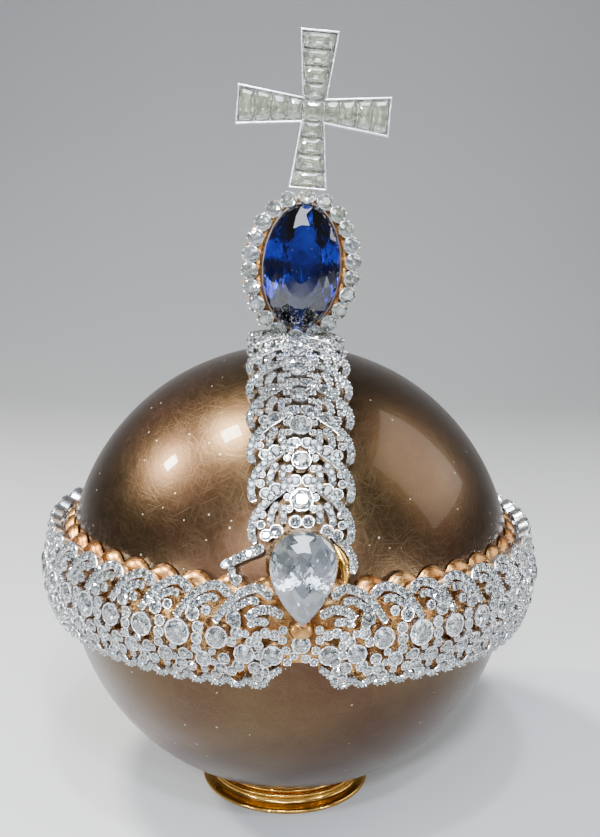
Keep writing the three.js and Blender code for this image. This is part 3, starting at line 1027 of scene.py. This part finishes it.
class ORB_OT_belt(bpy.types.Operator):
    """Set the belt: overlapping leaves above, rows of round stones and small swags below"""
    bl_idname = "orb.belt"
    bl_label = "Belt Jewels"

    def execute(self, context):
        work = Jewelling(depth=3.1)
        pitch = 2 * math.pi * BELT_RADIUS / sizes().belt_leaves
        half_round = sizes().belt_leaves // 2
        small = sizes().leaf_stone
        for side in (-1, 1):
            face = belt_side(side)
            for leaf in range(1, half_round):
                top = leaf + 0.13
                work.strip(face, self.shifted(LEAF_RIB, top), small * 1.34, small, (pitch, 1),
                           rise=(0.9, -0.3))
                work.strip(face, self.shifted(LEAF_VEIN, top), small * 1.15, small * 0.95,
                           (pitch, 1))
                work.collet(face, top + 0.47, 9.4, 1.75)
                if leaf > 1:
                    work.collet(face, top + 0.14, 10.7, 1.2)
                self.lower_rows(work, face, leaf, pitch)
        self.front_rows(work, pitch)
        work.collets(belt_face, BACK_COLUMN, half_round)
        for shift, height, radius in BACK_PAIRS:
            for hand in (-1, 1):
                work.collet(belt_face, half_round + hand * shift, height, radius)
        work.make("belt_silver", ["belt_garland"])
        return {"FINISHED"}

    @staticmethod
    def shifted(knots, start):
        return [(start + along, height) for along, height in knots]

    def lower_rows(self, work, face, leaf, pitch):
        wander = math.sin(leaf * 2.4)
        if leaf == 1:
            work.collets(face, FIRST_STONES)
        else:
            work.collet(face, leaf - 0.02, 4.0, 3.0 + 0.3 * wander)
            work.collets(face, ROW_STONES, leaf)
            work.collet(face, leaf + 0.3, -2.5 - 0.2 * wander, 2.0)
        work.collets(face, LOWER_STONES, leaf)
        if leaf > 1:
            work.collets(face, FILLING_STONES, leaf)
        for shift in (-0.5, 0.0):
            if leaf + shift > 0.7:
                work.strip(face, self.shifted(EDGE_SWAG, leaf + shift), 0.88, 0.88, (pitch, 1),
                           depth=2.4)
        work.collet(face, leaf, -6.3, 1.25)

    def front_rows(self, work, pitch):
        work.collets(belt_face, MIDDLE_STONES)
        for side in (-1, 1):
            face = belt_side(side)
            for knots, radius in FRONT_LEAVES:
                work.strip(face, knots, radius, radius * 0.9, (pitch, 1), rise=(0.5, 0.2))
            work.collets(face, FRONT_STONES)


# ---------------------------------------------------------------- arch

FOUNTAIN_OUTER = ((2.5, 4.6), (5.2, 2.3), (7.9, 0.7), (10.4, -1.1), (12.4, -3.0), (13.3, -4.9),
                  (13.5, -7.0), (12.6, -8.9))
FOUNTAIN_MIDDLE = ((6.4, -0.6), (7.9, -2.3), (8.4, -3.9), (8.4, -5.4))
FOUNTAIN_INNER = ((4.6, -1.0), (5.0, -2.6), (4.9, -4.9))
# Stones of a fountain are (across, degrees from its crown, radius). The wide ones follow its width.
INNER_STONES = ((1.65, -4.5, 1.5),)
WIDE_STONES = ((9.6, -7.2, 1.4), (6.9, -6.4, 1.6), (11.0, -5.1, 1.0), (10.6, -3.1, 0.85))
CROWN_STONES = ((2.9, 2.2, 0.85), (3.7, 0.5, 0.85), (3.2, -1.9, 0.85))
FOUNTAINS = 8
BIG_CROWNS = (30, 48)
MM_PER_DEGREE_ON_ARCH = math.radians(1) * 73.8
MM_PER_DEGREE_BESIDE_PEAR = math.radians(1) * 74.5


class ORB_OT_arch(bpy.types.Operator):
    """Set the arch: a chain of fountains, each with a large stone and arcs falling to both sides"""
    bl_idname = "orb.arch"
    bl_label = "Arch Jewels"

    def execute(self, context):
        work = Jewelling(depth=3.3)
        work.clear = self.clear_of_finial
        for back in (False, True):
            for unit in range(FOUNTAINS):
                self.fountain(work, 90 - sizes().arch_pitch * (unit + back), back)
        work.make("arch_silver", ["arch_garland"])
        return {"FINISHED"}

    @staticmethod
    def clear_of_finial(place):
        """True where the foot of the blue stone's mount leaves room."""
        near = place - from_ball(1.5, 0, 74)
        return not (abs(near.x) < 8.5 and -7.5 < near.y < 6.5 and near.z > -4)

    def fountain(self, work, crown, back):
        def face(across, elevation, lift=0.0):
            if elevation > 90:
                return arch_face(across, 180 - elevation, lift, not back)
            return arch_face(across, elevation, lift, back)

        widen = arch_half_width(crown) / 14.6
        big = 2.85 if round(crown) in BIG_CROWNS else 2.4
        degree = MM_PER_DEGREE_ON_ARCH
        work.collet(face, 0, crown, big, cushion=True)
        for hand in (-1, 1):
            def arc(knots, hand=hand):
                return [(hand * widen * across, crown + rise) for across, rise in knots]

            work.strip(face, arc(FOUNTAIN_OUTER), 1.12, 1.05, (1, degree), rise=(0.5, 0))
            work.strip(face, arc(FOUNTAIN_MIDDLE), 1.0, 0.95, (1, degree))
            work.strip(face, arc(FOUNTAIN_INNER), 1.0, 0.95, (1, degree))
            for places, spread in ((INNER_STONES, 1), (WIDE_STONES, widen), (CROWN_STONES, 1)):
                for across, rise, radius in places:
                    work.collet(face, hand * across * spread, crown + rise, radius)


# ---------------------------------------------------------------- pear-cut stone

PEAR_PLACE = (0, -79.6, 22)
PEAR_LENGTH = 24.1
PEAR_WIDTH = 17.3
PEAR_DROP = 0.4


def front_place(x, y, depth):
    """A point of the pear-cut stone's own frame: x across, y up its face, depth towards the back."""
    lean = sizes().pear_lean
    up = Vector((0, math.sin(lean), math.cos(lean)))
    behind = Vector((0, math.cos(lean), -math.sin(lean)))
    return from_ball(*PEAR_PLACE) + Vector((x, 0, 0)) + up * y + behind * depth


def lowered(x, y, depth):
    """A place in the same frame for the stone, its foil and its setting, which sit a little lower."""
    return front_place(x, y - PEAR_DROP, depth)


def outline_wall(section, count, outline_at, place):
    """A closed wall that follows an outline. Its section is (growth outwards, depth) points."""
    vertices = [place(*outline_at(k / count, grow), depth)
                for k in range(count) for grow, depth in section]
    return vertices, ring_faces(count, len(section), closed=True)


class ORB_OT_pear(bpy.types.Operator):
    """Cut the pear-shaped stone and raise its gold setting, ribbon and side scroll"""
    bl_idname = "orb.pear"
    bl_label = "Pear-cut Stone"

    def execute(self, context):
        outline = pear(PEAR_LENGTH - 0.7, PEAR_WIDTH - 1.1)
        rows = [(0.40, -2.8, 0.5), (0.58, -2.5, 0), (0.78, -1.65, 0.5), (0.93, -0.65, 0),
                (1.0, 0.0, 0.5), (1.0, 0.2, 0.5), (0.84, 1.3, 0), (0.60, 3.0, 0.5), (0.32, 5.0, 0)]
        vertices, faces = cut_stone(outline, 22, [(s, -d, h) for s, d, h in rows], 6.8)
        # The pear-cut stone has strong painted facet shade and highlights in its colour.
        stone = piece("pear_cut_stone", [lowered(x, y, -z) for x, y, z in vertices], faces,
                      diamond("clear_diamond", 90.0, 0.62, 430.0, 0.93, 0.85))
        settle(stone, "colourless_stone", "pear_diamond")
        self.foil(outline)

        def grown(t, grow):
            return pear(PEAR_LENGTH + 2 * grow, PEAR_WIDTH + 2 * grow)(t)

        section = [(0.2, 4.6), (-0.2, 2.2), (-0.4, 1.0), (-0.55, 0.5), (-0.85, 0.5), (-1.1, 1.2),
                   (-1.1, 4.6)]
        made = piece("pear_gold_setting", *outline_wall(section, 72, grown, lowered),
                     bright_gold(), smooth=True, crease=math.radians(40))
        settle(made, "bright_gold", "pear_setting")
        self.side_pieces()
        return {"FINISHED"}

    def foil(self, outline):
        """The bright closed cup behind the stone's pavilion, which throws the light back."""
        inside = [(0.97, 0.45), (0.86, 1.75), (0.62, 3.45), (0.34, 5.45), (0.04, 7.2)]
        outside = [(scale, depth + 0.4) for scale, depth in reversed(inside)]

        def scaled(t, scale):
            x, y = outline(t)
            return x * scale, y * scale

        made = piece("pear_foil", *outline_wall(inside + outside, 44, scaled, lowered), silver(),
                     smooth=True, crease=math.radians(50))
        settle(made, "silver")

    def side_pieces(self):
        """The ribbon on one side, the scroll on the other and the gold crescent beside it."""
        work = Jewelling(depth=2.6)

        def face(azimuth, elevation, lift=0.0):
            return ball_face(azimuth, elevation, lift + 4.6)

        scale = (MM_PER_DEGREE_BESIDE_PEAR, MM_PER_DEGREE_BESIDE_PEAR)
        work.strip(face, [(-8.0, 20.8), (-12.0, 18.9), (-16.8, 16.4)], 1.45, 1.1, scale)
        work.strip(face, [(-14.6, 16.6), (-14.2, 14.6), (-12.8, 12.8)], 1.0, 0.9, scale)
        work.strip(face, [(7.4, 22.6), (9.6, 20.6), (10.9, 18.2), (10.6, 15.4)], 1.05, 1.25, scale)
        work.collet(face, -13.0, 14.2, 1.0)
        work.make("pear_side_silver", [])
        crescent = flowing_line([(6.9, 21.4), (8.2, 18.8), (9.0, 16.2), (8.9, 13.4)])
        made = gold_wire("pear_gold_crescent", crescent, face, 1.35)
        settle(made, "bright_gold")
        dome_at, facing = belt_face(0, 7.3, -0.7)
        profile = [(0, -1.5)] + [(3.3 * math.cos(a), 2.0 * math.sin(a)) for a in
                                 np.radians(np.linspace(-20, 90, 10))]
        profile[-1] = (0, 2.0)
        turned = aim_of(facing).to_matrix()
        vertices, faces = lathe(profile, 32)
        dome = piece("pear_gold_dome", [turned @ Vector(v) + dome_at for v in vertices], faces,
                     warm_gold(), smooth=True, crease=math.radians(50))
        settle(dome, "warm_gold")


def gold_wire(name, line, face, thickness):
    """A tapering half-round wire along a line on a face."""
    sides = 10
    vertices = []
    last = len(line) - 1
    for k, (x, y) in enumerate(line):
        place, facing = face(x, y, 0)
        ahead = face(*line[min(k + 1, last)], 0)[0] - face(*line[max(k - 1, 0)], 0)[0]
        across = facing.cross(ahead.normalized())
        swell = 0.15 + math.sin(math.pi * k / last) ** 0.7 * thickness
        for j in range(sides):
            angle = 2 * math.pi * j / sides
            vertices.append(place + across * swell * math.cos(angle)
                            + facing * (swell * math.sin(angle) * 0.9))
    faces = end_caps(len(line), sides) + ring_faces(len(line), sides)
    return piece(name, vertices, faces, bright_gold(), smooth=True, crease=math.radians(60))


# ---------------------------------------------------------------- blue stone and its halo

SAPPHIRE_HALF = (11.7, 19.1)
HOLE_HALF = (12.0, 19.4)
RIM_HALF = (18.3, 22.3)
HALO_PATH = (15.2, 20.0)
HALO_STONE = 2.5
SLOPE_START = -4.6
SLOPE_END = -2.2
SLOPE_INSET = 0.1


def finial_place(node):
    """Places points of the leaning finial about a CAD node's middle: x across, y up, depth back."""
    lean = sizes().finial_lean
    across = Vector((math.cos(lean), 0, -math.sin(lean)))
    up = Vector((math.sin(lean), 0, math.cos(lean)))
    middle = node_middle(node) / MM

    def place(x, y, depth):
        return Vector((middle.x, 0, middle.z)) + across * x + up * y + Vector((0, depth, 0))
    return place


def even_turns(outline, count):
    """Turns that part an outline into equal lengths."""
    fine = np.array([outline(t) for t in np.linspace(0, 1, 721)])
    marks = np.concatenate([[0], np.cumsum(np.linalg.norm(np.diff(fine, axis=0), axis=1))])
    return [np.interp(marks[-1] * k / count, marks, np.linspace(0, 1, 721)) for k in range(count)]


class ORB_OT_sapphire(bpy.types.Operator):
    """Cut the oval blue stone and build the scalloped gold mount that holds it"""
    bl_idname = "orb.sapphire"
    bl_label = "Blue Stone"

    def execute(self, context):
        place = finial_place("sapphire_mount")
        rows = [(0.26, 3.8, 0.5), (0.48, 3.5, 0), (0.66, 2.9, 0.5), (0.82, 2.0, 0), (0.94, 0.9, 0.5),
                (1.0, 0.1, 0), (1.0, -0.2, 0), (0.86, -1.6, 0.5), (0.68, -3.4, 0), (0.46, -5.4, 0.5),
                (0.24, -7.0, 0)]
        vertices, faces = cut_stone(ellipse(*SAPPHIRE_HALF), 20, rows, 8.2)
        stone = piece("blue_stone", [place(x, y, -5.2 - z) for x, y, z in vertices], faces,
                      sapphire_blue())
        settle(stone, "blue_stone", "sapphire")
        self.mount(place)
        return {"FINISHED"}

    def mount(self, place):
        count = sizes().halo_stones
        section = [(0, -5.35), (-0.06, 4.6), (0.5, 4.6), (0.62, 3.9), (0.68, -0.2), (0.96, -0.9),
                   (1, -1.3), (1, -2.1), (0.94, SLOPE_END - 0.05), (0.55, -3.45), (0.13, -4.6),
                   (0.10, -5.3), (0.05, -5.6)]
        hole, rim = ellipse(*HOLE_HALF), ellipse(*RIM_HALF)
        turns = even_turns(ellipse(*HALO_PATH), count)
        marks = np.array(turns + [1.0])

        def outline_at(t, share):
            stone = np.interp(t, marks, np.arange(count + 1))
            notch = 1 - abs(math.cos(math.pi * stone)) ** 0.5
            pull = 1 - 0.06 * notch * max(0.0, share)
            near, far = Vector(hole(t)), Vector(rim(t))
            return (near + (far - near) * share) * pull

        made = piece("blue_stone_mount", *outline_wall(section, count * 10, outline_at, place),
                     warm_gold(), smooth=True, crease=math.radians(35))
        settle(made, "warm_gold", "sapphire_mount")


class ORB_OT_halo(bpy.types.Operator):
    """Ring the blue stone with round stones in silver cups"""
    bl_idname = "orb.halo"
    bl_label = "Halo"

    def execute(self, context):
        place = finial_place("sapphire_mount")
        hole, rim = ellipse(*HOLE_HALF), ellipse(*RIM_HALF)
        origin = place(0, 0, 0)
        stones = []
        grains = []
        count = sizes().halo_stones
        for turn in even_turns(ellipse(*HALO_PATH), count):
            spot = Vector(ellipse(*HALO_PATH)(turn))
            outward = Vector(rim(turn)) - Vector(hole(turn))
            share = (spot - Vector(hole(turn))).length / outward.length
            fall = (SLOPE_END - SLOPE_START) / (1 - SLOPE_INSET)
            depth = SLOPE_START + fall * (share - SLOPE_INSET)
            slope = math.atan2(fall, outward.length)
            way = (place(*outward.normalized(), 0) - origin)
            facing = Vector((0, -math.cos(slope), 0)) + way * math.sin(slope)
            girdle = place(*spot, depth) + facing * 1.5
            stones.append((girdle, facing, way, HALO_STONE))
            around = facing.cross(way)
            for k in range(8):
                angle = math.pi / 8 + math.pi * k / 4
                reach = way * math.cos(angle) + around * math.sin(angle)
                grains.append((girdle + reach * HALO_STONE * 0.98 + facing * 0.12, facing, None, 0.33))
        # The halo stones carry painted facet shade and highlights in their colour.
        halo = set_on_points("halo_stones", fine_brilliant(ellipse(1.22, 1.0), 12, 0.5), stones,
                             diamond("halo_diamond", 130.0, 0.5, 800.0, 0.93, 0.6), size=0.99)
        cup_profile = [(0, -0.68), (0.9, -0.68), (1.07, -0.2), (1.08, 0.02), (1.02, 0.06),
                       (0.97, 0.02), (0.6, -0.38), (0, -0.56)]
        cups = set_on_points("halo_cups", lathe(cup_profile, 20), stones, silver(), smooth=True)
        held = set_on_points("halo_grains", round_grain(), grains, silver(), smooth=True)
        nodes = [f"halo_diamond_{k + 1:02d}" for k in range(count)]
        settle(halo, "colourless_stone", *nodes)
        settle(cups, "silver")
        settle(held, "silver")
        return {"FINISHED"}


# ---------------------------------------------------------------- cross

CROSS_ARM = 23.1
CROSS_END_HALF = 5.9
CROSS_NECK_HALF = 3.7
CROSS_DEPTH = 2.5
CROSS_RIM = 0.6
BACK_BORDER = 1.1
BACK_PANEL = 0.5
CHANNEL_FLOOR = 0.3


def arm_half_width(distance):
    """Half the width of a flaring arm at a distance from the crossing."""
    share = (distance - CROSS_NECK_HALF) / (CROSS_ARM - CROSS_NECK_HALF)
    return CROSS_NECK_HALF + (CROSS_END_HALF - CROSS_NECK_HALF) * share


def quarter_turns(x, y, turns):
    """The point turned about the crossing, a quarter at a time."""
    for _ in range(turns % 4):
        x, y = y, -x
    return x, y


class ORB_OT_cross(bpy.types.Operator):
    """Build the silver cross and line its four arms with square-cut stones"""
    bl_idname = "orb.cross"
    bl_label = "Cross"

    def execute(self, context):
        place = finial_place("cross_mount")
        self.mount(place)
        self.stones(place)
        return {"FINISHED"}

    def outline(self, inset):
        """The cross's corners in order, drawn in from its edge."""
        neck = CROSS_NECK_HALF - inset
        end = arm_half_width(CROSS_ARM - inset) - inset
        tip = CROSS_ARM - inset
        return [quarter_turns(x, y, arm) for arm in range(4)
                for x, y in ((-neck, neck), (-end, tip), (end, tip))]

    def mount(self, place):
        section = [(BACK_BORDER, CROSS_DEPTH - BACK_PANEL), (BACK_BORDER, CROSS_DEPTH),
                   (0, CROSS_DEPTH), (0, -CROSS_DEPTH), (CROSS_RIM, -CROSS_DEPTH),
                   (CROSS_RIM, CHANNEL_FLOOR)]
        vertices = []
        for inset, depth in section:
            vertices += [place(x, y, depth) for x, y in self.outline(inset)]
        corners = len(self.outline(0))
        faces = end_caps(len(section), corners) + ring_faces(len(section), corners)
        made = piece("cross_silver", vertices, faces, silver())
        bevel = made.modifiers.new("Softened Edges", "BEVEL")
        bevel.width = 0.22 * MM
        bevel.segments = 2
        bevel.limit_method = "ANGLE"
        settle(made, "silver", "cross_mount")

    def stones(self, place):
        start = CROSS_NECK_HALF - CROSS_RIM
        end = CROSS_ARM - CROSS_RIM
        count = sizes().cross_stones
        pitch = (end - start) / count
        cells = [(0, -start + 0.12, start - 0.12, lambda at: start - 0.12)]
        for arm in range(4):
            for k in range(count):
                near = start + k * pitch + 0.1
                cells.append((arm, near, near + pitch - 0.2,
                              lambda at: arm_half_width(at) - CROSS_RIM - 0.12))
        vertices = []
        faces = []
        for arm, near, far, half_width in cells:
            cut, cut_faces = self.square_stone(near, far, half_width)
            base = len(vertices)
            for x, y, z in cut:
                x, y = quarter_turns(x, y, arm)
                vertices.append(place(x, y, -1.7 - z))
            faces += [[base + k for k in face] for face in cut_faces]
        # The cross stones carry painted facet shade and highlights in their colour.
        made = piece("cross_stones", vertices, faces,
                     diamond("cross_diamond", 160.0, 0.30, 720.0, 0.90, 0.5))
        names = [f"cross_diamond_{side}_{k + 1}" for side in ("top", "right", "bottom", "left")
                 for k in range(count)]
        settle(made, "colourless_stone", "cross_diamond_centre", *names)

    def square_stone(self, near, far, half_width):
        """A square-cut stone between two distances from the crossing."""
        middle = (near + far) / 2
        clip = 0.62
        low, high = half_width(near), half_width(far)
        low_y, high_y = near - middle, far - middle
        corners = [(high - clip, high_y), (high, high_y - clip), (low, low_y + clip),
                   (low - clip, low_y), (clip - low, low_y), (-low, low_y + clip),
                   (-high, high_y - clip), (clip - high, high_y)]

        def outline(t):
            index = t * len(corners)
            first = int(index) % len(corners)
            share = index - int(index)
            a, b = Vector(corners[first]), Vector(corners[(first + 1) % len(corners)])
            return a + (b - a) * share

        rows = [(0.46, 1.15, 0), (0.66, 1.0, 0.5), (0.84, 0.65, 0), (1.0, 0.0, 0.5), (0.8, -0.6, 0),
                (0.55, -1.1, 0.5), (0.28, -1.5, 0)]
        vertices, faces = cut_stone(outline, 2 * len(corners), rows, 1.75)
        return [(x, y + middle, z) for x, y, z in vertices], faces


# ---------------------------------------------------------------- stage

class ORB_OT_stage(bpy.types.Operator):
    """Lay the pale floor and backdrop, hang the soft lights and place the camera"""
    bl_idname = "orb.stage"
    bl_label = "Stage"

    def execute(self, context):
        self.floor()
        self.lights()
        self.camera()
        return {"FINISHED"}

    def floor(self):
        material, wiring, shader, where = blank_material("stage_paper")
        tone = place_group(wiring, "Colour Drift", drift_group, {
            "Vector": where, "Scale": 3.0, "Balance": 0.5, "Main": colours().stage,
            "Other": [channel * 0.97 for channel in colours().stage[:3]] + [1]})
        wiring.tree.links.new(tone["Color"], shader.inputs["Base Color"])
        shader.inputs["Roughness"].default_value = 0.9
        reach, bend = 2600, 700
        line = [(-reach, 0)] + [(bend + y, bend + z) for y, z in
                                arc_points((0, 0), bend, -90, 0, 16)] + [(2 * bend, reach)]
        vertices = [(x, y, z) for y, z in line for x in (-reach, reach)]
        faces = [[2 * k, 2 * k + 1, 2 * k + 3, 2 * k + 2] for k in range(len(line) - 1)]
        made = piece("stage_floor", vertices, faces, material, smooth=True)
        made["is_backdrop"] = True

    def lights(self):
        world = bpy.data.worlds.new("soft_room")
        world.use_nodes = True
        world.node_tree.nodes["Background"].inputs["Color"].default_value = (0.5, 0.52, 0.56, 1)
        world.node_tree.nodes["Background"].inputs["Strength"].default_value = 0.28
        bpy.context.scene.world = world
        cool, warm = (0.82, 0.90, 1.0), (1.0, 0.97, 0.92)
        # Each lamp: name, direction from the ball, distance, size, power and tint.
        lamps = (("key_left", (-0.775, 0.05, 0.63), 0.80, (0.075, 0.075), 9.0, warm),
                 ("key_high", (-0.41, -0.04, 0.91), 0.75, (0.10, 0.10), 12.0, warm),
                 ("key_right", (0.80, 0.07, 0.60), 0.80, (0.55, 0.55), 4.5, warm),
                 ("brow_soft", (0.0, -0.62, 0.85), 0.90, (0.40, 0.60), 7.5, cool),
                 ("brow_high", (-0.02, -0.45, 0.9), 0.8, (0.05, 0.05), 5.0, cool),
                 ("brow_middle", (0.05, -0.75, 0.7), 0.8, (0.05, 0.05), 5.0, cool),
                 ("brow_low", (-0.12, -0.9, 0.5), 0.8, (0.05, 0.05), 5.0, cool),
                 ("low_left", (-0.75, -0.65, 0.0), 0.8, (0.05, 0.05), 3.0, cool),
                 ("low_right", (0.75, -0.65, 0.0), 0.8, (0.05, 0.05), 3.0, cool),
                 ("spark_left", (-0.35, -0.9, 0.35), 0.9, (0.04, 0.04), 3.0, cool),
                 ("spark_right", (0.30, -0.9, 0.42), 0.9, (0.04, 0.04), 3.0, cool))
        for name, way, distance, size, power, tint in lamps:
            lamp = bpy.data.lights.new(name, "AREA")
            lamp.shape = "RECTANGLE"
            lamp.size, lamp.size_y = size
            lamp.energy = power
            lamp.color = tint
            holder = add_object(name, lamp)
            direction = Vector(way).normalized()
            holder.location = BALL_CENTRE + direction * distance
            holder.rotation_mode = "QUATERNION"
            holder.rotation_quaternion = direction.to_track_quat("Z", "Y")

    def camera(self):
        azimuth, elevation = math.radians(-2.5), math.radians(18.3)
        yaw, pitch, roll = math.radians(2.9), math.radians(-10.72), math.radians(1.3)
        distance = 0.35
        lens = bpy.data.cameras.new("view")
        lens.lens = 46
        lens.clip_start = 0.01
        holder = add_object("view", lens)
        away = Vector((math.cos(elevation) * math.sin(azimuth),
                       -math.cos(elevation) * math.cos(azimuth), math.sin(elevation)))
        ahead = Vector((math.cos(pitch) * math.sin(yaw), math.cos(pitch) * math.cos(yaw),
                        math.sin(pitch)))
        right = ahead.cross(Vector((0, 0, 1))).normalized()
        up = right.cross(ahead)
        right, up = (right * math.cos(roll) + up * math.sin(roll),
                     up * math.cos(roll) - right * math.sin(roll))
        holder.matrix_world = (Matrix.Translation(BALL_CENTRE + away * distance)
                               @ Matrix((right, up, -ahead)).transposed().to_4x4())
        bpy.context.scene.camera = holder


# ---------------------------------------------------------------- add-on

STEPS = (ORB_OT_stage, ORB_OT_ball, ORB_OT_foot, ORB_OT_belt_backing, ORB_OT_belt, ORB_OT_arch,
         ORB_OT_pear, ORB_OT_sapphire, ORB_OT_halo, ORB_OT_cross)


class ORB_PT_panel(bpy.types.Panel):
    """Lists the orb's pieces, sizes and colours"""
    bl_idname = "ORB_PT_panel"
    bl_label = "Ceremonial Orb"
    bl_space_type = "VIEW_3D"
    bl_region_type = "UI"
    bl_category = "Orb"

    def draw(self, context):
        for step in STEPS:
            self.layout.operator(step.bl_idname)
        for group in (context.scene.orb_sizes, context.scene.orb_colours):
            box = self.layout.box()
            for name in group.__annotations__:
                box.prop(group, name)


CLASSES = (OrbSizes, OrbColours, *STEPS, ORB_PT_panel)


def register():
    for kind in CLASSES:
        bpy.utils.register_class(kind)
    bpy.types.Scene.orb_sizes = bpy.props.PointerProperty(type=OrbSizes)
    bpy.types.Scene.orb_colours = bpy.props.PointerProperty(type=OrbColours)


def unregister():
    del bpy.types.Scene.orb_colours
    del bpy.types.Scene.orb_sizes
    for kind in reversed(CLASSES):
        bpy.utils.unregister_class(kind)


def main():
    register()
    for step in STEPS:
        group, action = step.bl_idname.split(".")
        getattr(getattr(bpy.ops, group), action)()
    boxes = {"cad": CAD_BOX, "visual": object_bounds()}
    {name: [list(corner) for corner in box] for name, box in boxes.items()}


if __name__ == "__main__":
    main()
